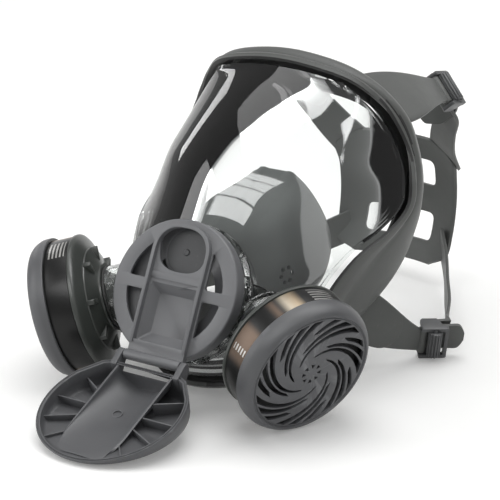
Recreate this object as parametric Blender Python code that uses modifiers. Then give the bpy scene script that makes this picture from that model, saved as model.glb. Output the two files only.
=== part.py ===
"""Full face respirator: clear wide lens, rubber face seal, nose cup, two filter cartridges,
exhalation port with a hinged lid, and a head harness in four quick-adjust buckles.

Metres, +Z up, -Y is the front.  The mask stands as it does on a table: on the lower rims of
both cartridges, the far end of the open lid and the lower buckles behind.
"""

from math import asin, cos, log, pi, radians, sin

import bmesh
import bpy
from mathutils import Matrix, Vector

# ---------------------------------------------------------------- driving dimensions
BODY_SHIFT = (0, -0.0976, -0.0003)   # puts the origin under the middle of the whole object
GAP = 0.0003                    # clearance between touching solids
ROUND = 32                      # segments of a full turn

PORT_HEIGHT = 0.0736            # centre of the exhalation disc above the table
PORT_LEAN = radians(25.85)      # the disc leans back by this much
DISC_RADIUS = 0.0431
FRONT_PLATE = 0.0020            # thickness of the disc's front wall
WINDOW_RADIUS = 0.0335          # outer arc of the four windows
CHUTE_HALF_WIDTH = 0.0200
RAIL_WALL = 0.0022
RAIL_HEIGHT = 0.0032
FLAP_HEIGHT = 0.0235            # exhalation flap above the disc centre, at the top of the chute
BARREL_HALF = 0.0198
TUBE_OUTER = 0.0262
TUBE_INNER = 0.0238
TUBE_DEPTH = 0.030

HINGE_BELOW = 0.0440            # hinge axis below the disc centre, along the disc
HINGE_PROUD = 0.0034            # hinge axis in front of the disc face
PIN_RADIUS = 0.0015
KNUCKLE_RADIUS = 0.0032
LID_OPEN_TURN = radians(136.35)
LID_RADIUS = 0.0455
LID_NECK_HALF = 0.0255
TROUGH_HALF = 0.0200            # outer face of the lid's trough walls
LID_WALL = 0.0018
LID_RIM_DEPTH = 0.0040          # outer depth at the far end
LID_SLOPE = 0.16                # the floor falls by this much towards the hinge

CAP_CENTRE = Vector((0.0891, 0.0044, 0.0422))
CAP_TURN = radians(65.49)       # cartridge axis, away from straight ahead
CAP_DROP = radians(16.31)       # cartridge axis, below level
CAP_RADIUS = 0.0440
CAN_BACK = 0.0225               # back rim of the can behind the cap's front rim
NECK_RADIUS = 0.0135
SWIRLS = 7                      # groups of slots in the grille
SWIRL_START = 0.0118
SWIRL_PITCH = 88.0
PORT_DEPTH = 0.0400             # lens port behind the cap's front rim
PORT_BORE = 0.0166
PORT_COLLAR = 0.0190

LENS_THICK = 0.0022
LENS_ROUNDNESS = 1.55           # 1 is an ellipse; more pulls the cheeks in
LENS_PLATE_RADIUS = 0.0400      # raised round seat for the exhalation port
SEAL_THICK = 0.0026
CUP_THICK = 0.0020
STRAP_THICK = 0.0020
STRAP_WIDTH = 0.0200

# Stations run from the middle of the forehead, down the left side, to the chin: (x, y, z).
LENS_MIDDLE = [(0, 0.1130, 0.1890), (0, 0.0950, 0.1790), (0, 0.0770, 0.1670), (0, 0.0600, 0.1530),
               (0, 0.0450, 0.1360), (0, 0.0330, 0.1150), (0, 0.0230, 0.0930), (0, 0.0120, 0.0690),
               (0, 0.0020, 0.0490), (0, -0.0040, 0.0320), (0, 0.0060, 0.0180)]
LENS_EDGE = [(0.0470, 0.1200, 0.1810), (0.0600, 0.1320, 0.1690), (0.0700, 0.1390, 0.1540),
             (0.0780, 0.1400, 0.1380), (0.0840, 0.1340, 0.1240), (0.0866, 0.1260, 0.1095),
             (0.0840, 0.1050, 0.0990), (0.0770, 0.0760, 0.0880), (0.0690, 0.0560, 0.0680),
             (0.0620, 0.0440, 0.0420), (0.0420, 0.0340, 0.0210)]
SEAL_GROOVE = [(0, 0.1160, 0.1925), (0.0230, 0.1175, 0.1905), (0.0480, 0.1225, 0.1840),
               (0.0625, 0.1330, 0.1710), (0.0720, 0.1405, 0.1560), (0.0800, 0.1420, 0.1395),
               (0.0860, 0.1365, 0.1235), (0.0890, 0.1280, 0.1080), (0.0865, 0.1070, 0.0965),
               (0.0795, 0.0790, 0.0855), (0.0715, 0.0590, 0.0655), (0.0645, 0.0470, 0.0400),
               (0.0460, 0.0380, 0.0170), (0.0230, 0.0200, 0.0110), (0, 0.0110, 0.0105)]
SEAL_RIM = [(0, 0.1310, 0.1955), (0.0240, 0.1320, 0.1932), (0.0440, 0.1360, 0.1872),
            (0.0610, 0.1430, 0.1755), (0.0755, 0.1480, 0.1585), (0.0825, 0.1500, 0.1390),
            (0.0860, 0.1510, 0.1210), (0.0868, 0.1490, 0.1050), (0.0865, 0.1430, 0.0920),
            (0.0845, 0.1290, 0.0725), (0.0780, 0.1115, 0.0530), (0.0660, 0.0880, 0.0330),
            (0.0440, 0.0620, 0.0140), (0.0220, 0.0440, 0.0050), (0, 0.0380, 0.0040)]
SEAL_TURN = [(0, 0.1440, 0.1860), (0.0220, 0.1450, 0.1840), (0.0410, 0.1490, 0.1780),
             (0.0560, 0.1550, 0.1670), (0.0690, 0.1590, 0.1520), (0.0755, 0.1610, 0.1360),
             (0.0785, 0.1610, 0.1190), (0.0785, 0.1580, 0.1030), (0.0775, 0.1520, 0.0890),
             (0.0740, 0.1380, 0.0700), (0.0675, 0.1210, 0.0530), (0.0555, 0.0990, 0.0370),
             (0.0370, 0.0770, 0.0200), (0.0180, 0.0620, 0.0120), (0, 0.0560, 0.0110)]
SEAL_LIP = [(0, 0.1450, 0.1690), (0.0230, 0.1450, 0.1680), (0.0430, 0.1460, 0.1635),
            (0.0590, 0.1470, 0.1530), (0.0685, 0.1480, 0.1390), (0.0725, 0.1480, 0.1230),
            (0.0730, 0.1470, 0.1070), (0.0715, 0.1420, 0.0920), (0.0680, 0.1320, 0.0770),
            (0.0625, 0.1205, 0.0640), (0.0540, 0.1080, 0.0520), (0.0430, 0.0955, 0.0420),
            (0.0300, 0.0855, 0.0340), (0.0150, 0.0790, 0.0290), (0, 0.0770, 0.0275)]
CUP_WAIST = [(0, 0.1190, 0.1190), (0.0140, 0.1180, 0.1175), (0.0285, 0.1020, 0.1120),
             (0.0400, 0.0920, 0.0980), (0.0440, 0.0960, 0.0780), (0.0420, 0.0920, 0.0580),
             (0.0330, 0.0830, 0.0430), (0.0180, 0.0750, 0.0350), (0, 0.0720, 0.0320)]
CUP_RIM = [(0, 0.1190, 0.1190), (0.0140, 0.1180, 0.1175), (0.0280, 0.1170, 0.1060),
           (0.0385, 0.1160, 0.0900), (0.0430, 0.1120, 0.0740), (0.0420, 0.1010, 0.0570),
           (0.0330, 0.0850, 0.0430), (0.0180, 0.0750, 0.0350), (0, 0.0720, 0.0320)]

UPPER_BUCKLE = Vector((0.0630, 0.2300, 0.1590))
UPPER_ALONG = Vector((0.02, 0.98, -0.17))
UPPER_OUT = Vector((0.75, 0.10, 0.66))
LOWER_BUCKLE = Vector((0.1000, 0.1500, 0.0143))
LOWER_ALONG = Vector((0.81, 0.59, 0.0))
LOWER_OUT = Vector((0.54, -0.745, -0.39))

FRAME_HALF_LENGTH = 0.0090
FRAME_HALF_WIDTH = 0.0130
BAR_X = -0.0072
BAR_Z = -0.0008
BAR_RADIUS = 0.0016
BEAD_RADIUS = 0.0031
CROSS_X = 0.0008                # middle of the crossbar that the strap turns round
CROSS_Z = -0.0059
ROLLER_X = 0.0005
ROLLER_Z = 0.0024
ROLLER_RADIUS = 0.0046

PAD_HALF_WIDTH = 0.0470
PAD_ROWS = [(0.1080, 0.0300, 0.2860), (0.0960, 0.0470, 0.2920), (0.0800, 0.0470, 0.2980),
            (0.0600, 0.0465, 0.3000), (0.0400, 0.0460, 0.2970), (0.0250, 0.0450, 0.2900),
            (0.0160, 0.0300, 0.2850)]            # height, half width, depth at the middle
PAD_CURL = 0.014                # the pad's sides come forward by this much
UPPER_STRAP = [(0.0570, 0.2480, 0.1400), (0.0500, 0.2570, 0.1270), (0.0430, 0.2690, 0.1120),
               (0.0370, 0.2860, 0.0960)]
LOWER_STRAP = [(0.0960, 0.1760, 0.0140), (0.0850, 0.2020, 0.0150), (0.0700, 0.2300, 0.0180),
               (0.0530, 0.2620, 0.0240), (0.0370, 0.2870, 0.0320)]

COLOURS = {
    "rubber": ((0.085, 0.09, 0.09, 1), 0.6, 0.0),
    "cup": ((0.11, 0.115, 0.115, 1), 0.65, 0.0),
    "shell": ((0.105, 0.108, 0.115, 1), 0.45, 0.0),
    "clear": ((0.92, 0.93, 0.93, 1), 0.05, 0.0),
    "can": ((0.035, 0.04, 0.036, 1), 0.4, 0.0),
    "label": ((0.12, 0.09, 0.07, 1), 0.3, 0.6),
    "flap": ((0.06, 0.062, 0.064, 1), 0.7, 0.0),
    "carbon": ((0.02, 0.02, 0.02, 1), 0.95, 0.0),
    "felt": ((0.05, 0.05, 0.05, 1), 0.95, 0.0),
    "buckle": ((0.07, 0.072, 0.075, 1), 0.45, 0.0),
    "pin": ((0.55, 0.56, 0.57, 1), 0.25, 1.0),
}


# ---------------------------------------------------------------- scene and helpers
def clear_scene():
    for obj in list(bpy.data.objects):
        bpy.data.objects.remove(obj, do_unlink=True)


def new_collection(name):
    group = bpy.data.collections.new(name)
    bpy.context.scene.collection.children.link(group)
    return group


clear_scene()
PARTS = new_collection("full_face_respirator")
CUTTERS = new_collection("cutters")


def material(name):
    """One Principled material per finish, made once."""
    known = bpy.data.materials.get(name)
    if known:
        return known
    colour, roughness, metallic = COLOURS[name]
    made = bpy.data.materials.new(name)
    made.use_nodes = True
    shader = made.node_tree.nodes["Principled BSDF"]
    shader.inputs["Base Color"].default_value = colour
    shader.inputs["Roughness"].default_value = roughness
    shader.inputs["Metallic"].default_value = metallic
    made.diffuse_color = colour
    return made


def empty(name, matrix, parent=None):
    holder = bpy.data.objects.new(name, None)
    PARTS.objects.link(holder)
    holder.parent = parent
    holder.matrix_local = matrix
    return holder


def add(name, mesh, parent, finish, smooth=True):
    """Link a mesh as a named part under its frame."""
    obj = bpy.data.objects.new(name, mesh)
    PARTS.objects.link(obj)
    obj.parent = parent
    mesh.materials.append(material(finish))
    if smooth:
        mesh.shade_smooth()
        mesh.set_sharp_from_angle(angle=radians(35))
    return obj


def mesh_from(bm, name):
    bmesh.ops.recalc_face_normals(bm, faces=bm.faces)
    mesh = bpy.data.meshes.new(name)
    bm.to_mesh(mesh)
    bm.free()
    return mesh


def box_mesh(name, low, high):
    bm = bmesh.new()
    size = Vector(high) - Vector(low)
    middle = (Vector(high) + Vector(low)) / 2
    bmesh.ops.create_cube(bm, size=1.0, matrix=Matrix.Translation(middle) @ Matrix.Diagonal((*size, 1)))
    return mesh_from(bm, name)


def rod_mesh(name, radius, low, high, axis="Z", centre=(0, 0, 0), segments=24):
    """A cylinder from low to high along X, Y or Z, moved to centre."""
    bm = bmesh.new()
    turn = {"X": Matrix.Rotation(pi / 2, 4, "Y"), "Y": Matrix.Rotation(-pi / 2, 4, "X"),
            "Z": Matrix.Identity(4)}[axis]
    place = Matrix.Translation(centre) @ turn @ Matrix.Translation((0, 0, (low + high) / 2))
    bmesh.ops.create_cone(bm, cap_ends=True, segments=segments, radius1=radius, radius2=radius,
                          depth=high - low, matrix=place)
    return mesh_from(bm, name)


def turned(name, profile, parent, finish, closed=True, steps=ROUND):
    """A turned piece: (radius, height) points, down the outer side, with a Screw modifier."""
    mesh = bpy.data.meshes.new(name)
    count = len(profile)
    edges = [(i, i + 1) for i in range(count - 1)] + ([(count - 1, 0)] if closed else [])
    mesh.from_pydata([(r, 0, z) for r, z in profile], edges, [])
    obj = add(name, mesh, parent, finish, smooth=False)
    screw = obj.modifiers.new("turn", "SCREW")
    screw.axis = "Z"
    screw.steps = screw.render_steps = steps
    screw.use_merge_vertices = True
    screw.merge_threshold = 0.00001
    screw.use_smooth_shade = True
    return obj


def cutter(name, mesh, parent):
    obj = bpy.data.objects.new(name, mesh)
    CUTTERS.objects.link(obj)
    obj.parent = parent
    obj.hide_render = True
    obj.display_type = "WIRE"
    return obj


def combine(obj, other, operation):
    step = obj.modifiers.new(other.name, "BOOLEAN")
    step.operation = operation
    step.solver = "EXACT"
    step.object = other


def cut(obj, mesh, parent=None):
    combine(obj, cutter("cut_" + mesh.name, mesh, parent or obj.parent), "DIFFERENCE")


def join(obj, mesh, parent=None):
    combine(obj, cutter("join_" + mesh.name, mesh, parent or obj.parent), "UNION")


def plate_mesh(name, outlines, low, high):
    """A flat plate: closed outlines in X and Y, the later ones holes, from low to high in Z."""
    curve = bpy.data.curves.new(name, "CURVE")
    curve.dimensions = "2D"
    curve.fill_mode = "BOTH"
    curve.extrude = (high - low) / 2
    curve.render_resolution_u = 0
    for points in outlines:
        spline = curve.splines.new("POLY")
        spline.points.add(len(points) - 1)
        for point, (x, y) in zip(spline.points, points):
            point.co = (x, y, 0, 1)
        spline.use_cyclic_u = True
    holder = bpy.data.objects.new(name, curve)
    PARTS.objects.link(holder)
    depsgraph = bpy.context.evaluated_depsgraph_get()
    mesh = bpy.data.meshes.new_from_object(holder.evaluated_get(depsgraph))
    mesh.name = name
    mesh.transform(Matrix.Translation((0, 0, (low + high) / 2)))
    bpy.data.objects.remove(holder, do_unlink=True)
    bm = bmesh.new()
    bm.from_mesh(mesh)
    bmesh.ops.remove_doubles(bm, verts=bm.verts, dist=0.00001)
    bmesh.ops.recalc_face_normals(bm, faces=bm.faces)
    bm.to_mesh(mesh)
    bm.free()
    return mesh


def arc(centre, radius, start, end, count):
    """Points on an arc, angles in degrees."""
    angles = [radians(start + (end - start) * i / count) for i in range(count + 1)]
    return [(centre[0] + radius * cos(a), centre[1] + radius * sin(a)) for a in angles]


def loft_mesh(name, rows, ring=False, capped=False):
    """A skin through rows of points; ring joins each row's last point to its first."""
    bm = bmesh.new()
    grid = [[bm.verts.new(p) for p in row] for row in rows]
    count = len(rows[0])
    for upper, lower in zip(grid, grid[1:]):
        for i in range(count if ring else count - 1):
            j = (i + 1) % count
            bm.faces.new((upper[i], upper[j], lower[j], lower[i]))
    if capped:
        bm.faces.new(grid[0])
        bm.faces.new(grid[-1])
    return mesh_from(bm, name)


def thicken(obj, thickness, offset):
    shell = obj.modifiers.new("thickness", "SOLIDIFY")
    shell.thickness = thickness
    shell.offset = offset
    shell.use_even_offset = True


def both_sides(half):
    """A closed loop from a half list that starts and ends on the middle plane."""
    points = [Vector(p) for p in half]
    other = [Vector((-p.x, p.y, p.z)) for p in reversed(points[1:-1])]
    return points + other


def smooth_path(points, steps):
    """Points of a smooth curve through the given ones (Catmull-Rom)."""
    pts = [Vector(p) for p in points]
    pts = [2 * pts[0] - pts[1]] + pts + [2 * pts[-1] - pts[-2]]
    out = []
    for i in range(1, len(pts) - 2):
        a, b, c, d = pts[i - 1:i + 3]
        for k in range(steps):
            t = k / steps
            out.append(0.5 * (2 * b + (c - a) * t + (2 * a - 5 * b + 4 * c - d) * t ** 2
                              + (3 * b - a - 3 * c + d) * t ** 3))
    return out + [pts[-2]]


def ribbon_mesh(name, path, sides, widths, thickness):
    """A flat strap along a path; sides are its width directions, station by station."""
    rows = []
    last = len(path) - 1
    for i, (point, side, width) in enumerate(zip(path, sides, widths)):
        along = (path[min(i + 1, last)] - path[max(i - 1, 0)]).normalized()
        across = (side - along * side.dot(along)).normalized()
        face = along.cross(across)
        w, t = across * width / 2, face * thickness / 2
        rows.append([point - w - t, point + w - t, point + w + t, point - w + t])
    return loft_mesh(name, rows, ring=True, capped=True)


def frame_matrix(origin, along, out):
    """Local X along, local Z out, local Y to close the hand."""
    x = along.normalized()
    z = (out - x * out.dot(x)).normalized()
    y = z.cross(x)
    return Matrix.Translation(origin) @ Matrix((x, y, z)).transposed().to_4x4()


def mirrored(vector):
    return Vector((-vector.x, vector.y, vector.z))


# ---------------------------------------------------------------- frames
MASK = empty("mask_frame", Matrix.Translation(BODY_SHIFT))
PORT = empty("exhalation_frame",
             Matrix.Translation((0, 0, PORT_HEIGHT)) @ Matrix.Rotation(pi / 2 - PORT_LEAN, 4, "X"), MASK)
LID = empty("lid_hinge_frame", Matrix.Translation((0, -HINGE_BELOW, HINGE_PROUD))
            @ Matrix.Rotation(LID_OPEN_TURN, 4, "X"), PORT)


def cartridge_matrix(side):
    """Local Z out along the cartridge; side is +1 for the wearer's left."""
    out = Vector((side * sin(CAP_TURN) * cos(CAP_DROP), -cos(CAP_TURN) * cos(CAP_DROP), -sin(CAP_DROP)))
    origin = Vector((side * CAP_CENTRE.x, CAP_CENTRE.y, CAP_CENTRE.z))
    return frame_matrix(origin, Vector((0, 0, 1)).cross(out), out)


def buckle_matrix(level, side):
    origin, along, out = {"upper": (UPPER_BUCKLE, UPPER_ALONG, UPPER_OUT),
                          "lower": (LOWER_BUCKLE, LOWER_ALONG, LOWER_OUT)}[level]
    if side < 0:
        origin, along, out = mirrored(origin), mirrored(along), mirrored(out)
    return frame_matrix(origin, along, out)


# ---------------------------------------------------------------- exhalation port
def chute_outline(half):
    """The chute's plan: straight sides, with a broad rounded top."""
    top = [(half * cos(a) ** 0.75 if a < pi / 2 else -half * abs(cos(a)) ** 0.75,
            0.0225 + (half - 0.0030) * sin(a)) for a in [pi * i / 16 for i in range(17)]]
    return top + [(-half, -0.0360), (half, -0.0360)]


def window_outline(side, upper):
    """One window of the disc: upright edge by the chute, level edge by the cross bar, round outside."""
    near, level = CHUTE_HALF_WIDTH + 0.0010, 0.0036
    start, end = asin(level / WINDOW_RADIUS), pi / 2 - asin(near / WINDOW_RADIUS)
    points = [(near, level)] + [(WINDOW_RADIUS * cos(start + (end - start) * i / 6),
                                 WINDOW_RADIUS * sin(start + (end - start) * i / 6)) for i in range(7)]
    return [(side * x, y if upper else -y) for x, y in points]


def make_exhalation_body():
    profile = [(0, 0), (DISC_RADIUS, 0), (DISC_RADIUS, -0.0095), (TUBE_OUTER, -0.0095),
               (TUBE_OUTER, -TUBE_DEPTH), (TUBE_INNER, -TUBE_DEPTH), (TUBE_INNER, -0.0078),
               (0.0408, -0.0078), (0.0408, -FRONT_PLATE), (0, -FRONT_PLATE)]
    body = turned("exhalation_body", profile, PORT, "shell", closed=False, steps=ROUND)
    for side in (1, -1):
        for upper in (True, False):
            cut(body, plate_mesh(f"window_{side}_{upper}", [window_outline(side, upper)], -0.005, 0.003))
    join(body, box_mesh("trough_tray", (-0.0172, -0.0350, -0.0068), (0.0172, 0.0030, -0.0005)))
    floor, mouth = (0.0120, -0.0285, -0.0035), (0.0168, -0.0345, 0.0025)
    levels = [(floor, -0.0056), (mouth, 0.0003), (mouth, 0.0030)]
    rows = [[(-w, low, z), (w, low, z), (w, high, z), (-w, high, z)] for (w, low, high), z in levels]
    cut(body, loft_mesh("trough_well", rows, ring=True, capped=True))
    mouth_outline = [(0.0172, 0.0270), (0.0158, 0.0190), (0.0130, 0.0140), (0.0075, 0.0112),
                     (0, 0.0105), (-0.0075, 0.0112), (-0.0130, 0.0140), (-0.0158, 0.0190),
                     (-0.0172, 0.0270), (-0.0150, 0.0335), (-0.0090, 0.0370), (0, 0.0380),
                     (0.0090, 0.0370), (0.0150, 0.0335)]
    cut(body, plate_mesh("flap_mouth", [mouth_outline], -0.0050, 0.0030))
    wall = plate_mesh("chute_wall", [chute_outline(CHUTE_HALF_WIDTH),
                                     chute_outline(CHUTE_HALF_WIDTH - RAIL_WALL)], -0.0010, RAIL_HEIGHT)
    join(body, wall)
    join(body, box_mesh("hinge_web", (-BARREL_HALF, -HINGE_BELOW, -0.0015), (BARREL_HALF, -0.0340, 0.0025)))
    join(body, rod_mesh("hinge_barrel", KNUCKLE_RADIUS, -BARREL_HALF, BARREL_HALF, "X",
                        (0, -HINGE_BELOW, HINGE_PROUD)))
    cut(body, rod_mesh("hinge_bore", PIN_RADIUS + GAP, -0.030, 0.030, "X",
                       (0, -HINGE_BELOW, HINGE_PROUD)))


def make_exhalation_valve():
    valve = empty("exhalation_valve_frame", Matrix.Translation((0, FLAP_HEIGHT, 0)), PORT)
    seat = turned("exhalation_seat", [(0.0118, -0.0054), (0.0158, -0.0054), (0.0158, -0.0075),
                                      (0.0118, -0.0075)], valve, "shell")
    for turn in (0, 90):
        spoke = box_mesh(f"seat_spoke_{turn}", (-0.0130, -0.0010, -0.0072), (0.0130, 0.0010, -0.0058))
        spoke.transform(Matrix.Rotation(radians(turn), 4, "Z"))
        join(seat, spoke)
    turned("exhalation_flap", [(0, -0.0036), (0.0016, -0.0036), (0.0022, -0.0043), (0.0138, -0.0043),
                               (0.0138, -0.0051), (0, -0.0051)], valve, "flap", closed=False, steps=ROUND)
    turned("exhalation_gasket", [(0.0275, -0.0098), (0.0405, -0.0098), (0.0405, -0.0112),
                                 (0.0275, -0.0112)], PORT, "rubber")
    turned("retaining_ring", [(TUBE_OUTER + GAP, -0.0144), (0.0320, -0.0144), (0.0320, -0.0190),
                              (TUBE_OUTER + GAP, -0.0190)], PORT, "shell", steps=24)


def upright(mesh):
    """Turns a plate drawn in (Y, Z) so that it stands along the lid."""
    mesh.transform(Matrix(((0, 0, 1, 0), (1, 0, 0, 0), (0, 1, 0, 0), (0, 0, 0, 1))))
    return mesh


def make_lid():
    """A teardrop tray: round far end, narrow hinge end, floor sloping down to the hinge."""
    far = arc((0, HINGE_BELOW), LID_RADIUS, -28, 208, 28)
    neck = [(-LID_NECK_HALF, 0.0075), (LID_NECK_HALF, 0.0075)]
    outline = far + neck

    def depth(y):
        return LID_RIM_DEPTH + LID_SLOPE * (HINGE_BELOW + LID_RADIUS - y)

    def inset(scale):
        return [(x * scale, HINGE_BELOW + (y - HINGE_BELOW) * scale) for x, y in outline]

    rows = [[(x, y, 0) for x, y in outline],
            [(x, y, 0.55 * depth(y)) for x, y in inset(0.985)],
            [(x, y, depth(y)) for x, y in inset(0.93)],
            [(x, y, depth(y)) for x, y in inset(0.5)]]
    mesh = loft_mesh("lid", rows, ring=True)
    bm = bmesh.new()
    bm.from_mesh(mesh)
    open_edges = [e for e in bm.edges if e.is_boundary and max(v.co.z for v in e.verts) > 0.004]
    bmesh.ops.contextual_create(bm, geom=open_edges)
    bmesh.ops.recalc_face_normals(bm, faces=bm.faces)
    middle = min(bm.faces, key=lambda f: abs(f.calc_center_median().y - HINGE_BELOW)
                 + abs(f.calc_center_median().x))
    if middle.normal.z < 0:
        bmesh.ops.reverse_faces(bm, faces=bm.faces)
    bm.to_mesh(mesh)
    bm.free()
    lid = add("lid", mesh, LID, "shell")
    thicken(lid, LID_WALL, -1)
    inner = TROUGH_HALF - 0.0016
    for side in (1, -1):
        low, high = sorted((side * inner, side * TROUGH_HALF))
        wall = [(0.0095, 0.0010), (0.0820, 0.0048), (0.0820, depth(0.0820) - 0.0004),
                (0.0095, depth(0.0095) - 0.0004)]
        join(lid, upright(plate_mesh(f"trough_wall_{side}", [wall], low, high)))
        for turn in (45, 20, 0, -22, -40):
            place = (Matrix.Translation((0, HINGE_BELOW, 0))
                     @ Matrix.Rotation(radians(turn if side > 0 else 180 - turn), 4, "Z"))
            near, out = (inner + 0.0006) / cos(radians(turn)), 0.0428
            y_near = HINGE_BELOW + near * sin(radians(turn))
            y_out = HINGE_BELOW + out * sin(radians(turn))
            top = 0.0010 + 0.0038 * (y_near - 0.0095) / 0.0725 + 0.0006
            fin = [(near, top), (out, 0.6 * depth(y_out)), (out, depth(y_out) - 0.0006),
                   (near, depth(y_near) - 0.0006)]
            mesh = plate_mesh(f"fin_{side}_{turn}", [fin], -0.0004, 0.0004)
            mesh.transform(place @ Matrix.Rotation(pi / 2, 4, "X"))
            join(lid, mesh)
    cut(lid, box_mesh("trough_end", (-inner, -0.0060, 0.0008), (inner, 0.0108, 0.0300)))
    for side in (1, -1):
        low, high = sorted((side * (CHUTE_HALF_WIDTH + GAP), side * 0.0244))
        ear = [(-0.0030, 0.0), (-0.0015, -0.0030), (0.0015, -0.0030), (0.0105, 0.0000),
               (0.0105, 0.0100), (0.0060, 0.0100), (-0.0015, 0.0030)]
        join(lid, upright(plate_mesh(f"lid_ear_{side}", [ear], low, high)))
    cut(lid, rod_mesh("lid_bore", PIN_RADIUS + GAP, -0.030, 0.030, "X"))
    pin = add("hinge_pin", rod_mesh("hinge_pin", PIN_RADIUS, -0.0242, 0.0242, "X", segments=16), LID, "pin")
    return lid, pin


# ---------------------------------------------------------------- lens
def lens_row(middle, edge, half_count):
    """One row of the lens: from the edge on one side, round the front, to the other edge."""
    middle, edge = Vector(middle), Vector(edge)
    half = []
    for i in range(half_count + 1):
        angle = pi / 2 * i / half_count
        sideways = sin(angle)
        back = 1 - cos(angle) ** LENS_ROUNDNESS
        half.append(Vector((edge.x * sideways, middle.y + (edge.y - middle.y) * back,
                            middle.z + (edge.z - middle.z) * back)))
    return [Vector((-p.x, p.y, p.z)) for p in reversed(half[1:])] + half


def make_lens():
    rows = [lens_row(m, e, 9) for m, e in zip(LENS_MIDDLE, LENS_EDGE)]
    lens = add("lens", loft_mesh("lens", rows), MASK, "clear")
    front = min(lens.data.polygons, key=lambda p: p.center.y)
    if front.normal.y > 0:
        lens.data.flip_normals()
    thicken(lens, LENS_THICK, -1)
    join(lens, rod_mesh("plate_rim", LENS_PLATE_RADIUS, -0.0320, -0.0115, segments=ROUND), PORT)
    cut(lens, rod_mesh("plate_back", LENS_PLATE_RADIUS - LENS_THICK, -0.0500, -0.0140,
                       segments=ROUND), PORT)
    port_bore = rod_mesh("exhalation_bore", TUBE_OUTER + 2 * GAP, -0.040, 0.010, segments=ROUND)
    cut(lens, port_bore, PORT)
    for side, name in ((1, "left"), (-1, "right")):
        holder = empty(f"lens_port_{name}", cartridge_matrix(side), MASK)
        join(lens, rod_mesh(f"port_{name}", PORT_COLLAR, -PORT_DEPTH - 0.008, -PORT_DEPTH + 0.004,
                            segments=32), holder)
        cut(lens, rod_mesh(f"port_face_{name}", PORT_COLLAR + 0.0060, -PORT_DEPTH + 0.0040, 0.010,
                           segments=32), holder)
        cut(lens, rod_mesh(f"port_bore_{name}", PORT_BORE, -PORT_DEPTH - 0.030, -PORT_DEPTH + 0.020,
                           segments=32), holder)


# ---------------------------------------------------------------- face seal
def tab_mesh(name, root_top, root_low, end_top, end_low, bow, thickness=0.003):
    """A tab that flares from the seal's rim to the strap's width, bowed outwards."""
    rows = []
    for i in range(5):
        t = i / 4
        ease = t * t * (3 - 2 * t)
        top, low = root_top.lerp(end_top, t), root_low.lerp(end_low, t)
        middle = (top + low) / 2
        half = (top - low) / 2
        half *= ((1 - ease) * (root_top - root_low).length + ease * (end_top - end_low).length) \
            / (2 * half.length)
        rows.append([middle + half * f + bow * sin(pi * t) for f in (-1, -0.33, 0.33, 1)])
    mesh = loft_mesh(name, rows)
    bm = bmesh.new()
    bm.from_mesh(mesh)
    bmesh.ops.solidify(bm, geom=bm.faces, thickness=thickness)
    bmesh.ops.recalc_face_normals(bm, faces=bm.faces)
    bm.to_mesh(mesh)
    bm.free()
    return mesh


def make_face_seal():
    rows = [both_sides(half) for half in (SEAL_GROOVE, SEAL_RIM, SEAL_TURN, SEAL_LIP)]
    seal = add("face_seal", loft_mesh("face_seal", rows, ring=True), MASK, "rubber")
    thicken(seal, SEAL_THICK, 0)
    for side in (1, -1):
        for level in ("upper", "lower"):
            place = buckle_matrix(level, side)
            end = Vector((BAR_X - 0.0010, 0, BAR_Z))
            tops = {"upper": (Vector((0.0450, 0.1420, 0.1830)), Vector((0.0735, 0.1530, 0.1560))),
                    "lower": (Vector((0.0735, 0.1150, 0.0530)), Vector((0.0600, 0.0910, 0.0345)))}
            root_top, root_low = tops[level]
            if side < 0:
                root_top, root_low = mirrored(root_top), mirrored(root_low)
            across = place.to_3x3() @ Vector((0, 0.0092, 0))
            if across.dot(root_top - root_low) < 0:
                across = -across
            middle = place @ end
            bow = (place.to_3x3() @ Vector((0, 0, 1))) * 0.004
            join(seal, tab_mesh(f"tab_{level}_{side}", root_top, root_low, middle + across,
                                middle - across, bow), MASK)
            holder = empty(f"tab_end_{level}_{side}", place, MASK)
            join(seal, rod_mesh(f"tab_bead_{level}_{side}", BEAD_RADIUS, -0.0099, 0.0099, "Y",
                                (BAR_X, 0, BAR_Z)), holder)
            cut(seal, rod_mesh(f"tab_bore_{level}_{side}", BAR_RADIUS + GAP, -0.030, 0.030, "Y",
                               (BAR_X, 0, BAR_Z), segments=16), holder)


# ---------------------------------------------------------------- nose cup
def make_nose_cup():
    rim, waist = both_sides(CUP_RIM), both_sides(CUP_WAIST)
    count = len(rim)
    port = PORT.matrix_local
    collar_radius = (TUBE_OUTER + 2 * GAP) / cos(pi / count) + CUP_THICK / 2

    def ring(radius, z):
        return [port @ Vector((radius * sin(2 * pi * i / count), radius * cos(2 * pi * i / count), z))
                for i in range(count)]

    front, back = ring(collar_radius, -0.0245), ring(collar_radius, -0.0295)
    shoulder = [p.lerp(q, 0.35) for p, q in zip(ring(0.0335, -0.0330), waist)]
    belly = [p.lerp(q, 0.72) for p, q in zip(ring(0.0370, -0.0330), waist)]
    mesh = loft_mesh("nose_cup", [front, back, ring(0.0310, -0.0325), shoulder, belly, rim], ring=True)
    cup = add("nose_cup", mesh, MASK, "cup")
    thicken(cup, CUP_THICK, 0)
    for side, name in ((1, "left"), (-1, "right")):
        holder = empty(f"cup_valve_{name}", cup_valve_matrix(side), MASK)
        cut(cup, rod_mesh(f"cup_hole_{name}", 0.0075, -0.008, 0.008, segments=20), holder)
        turned(f"nose_cup_flap_{name}", [(0, 0.0006), (0.0095, 0.0006), (0.0095, -0.0004), (0, -0.0004)],
               empty(f"cup_flap_{name}", cup_valve_matrix(side) @ Matrix.Translation((0, 0, -0.0048)), MASK),
               "flap", closed=False, steps=24)


def cup_valve_matrix(side):
    """Local Z points out of the cup, sideways."""
    return frame_matrix(Vector((side * 0.0387, 0.0642, 0.0718)), Vector((side * 0.25, 0.95, 0.1)),
                        Vector((side * 0.94, -0.25, 0.22)))


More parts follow.
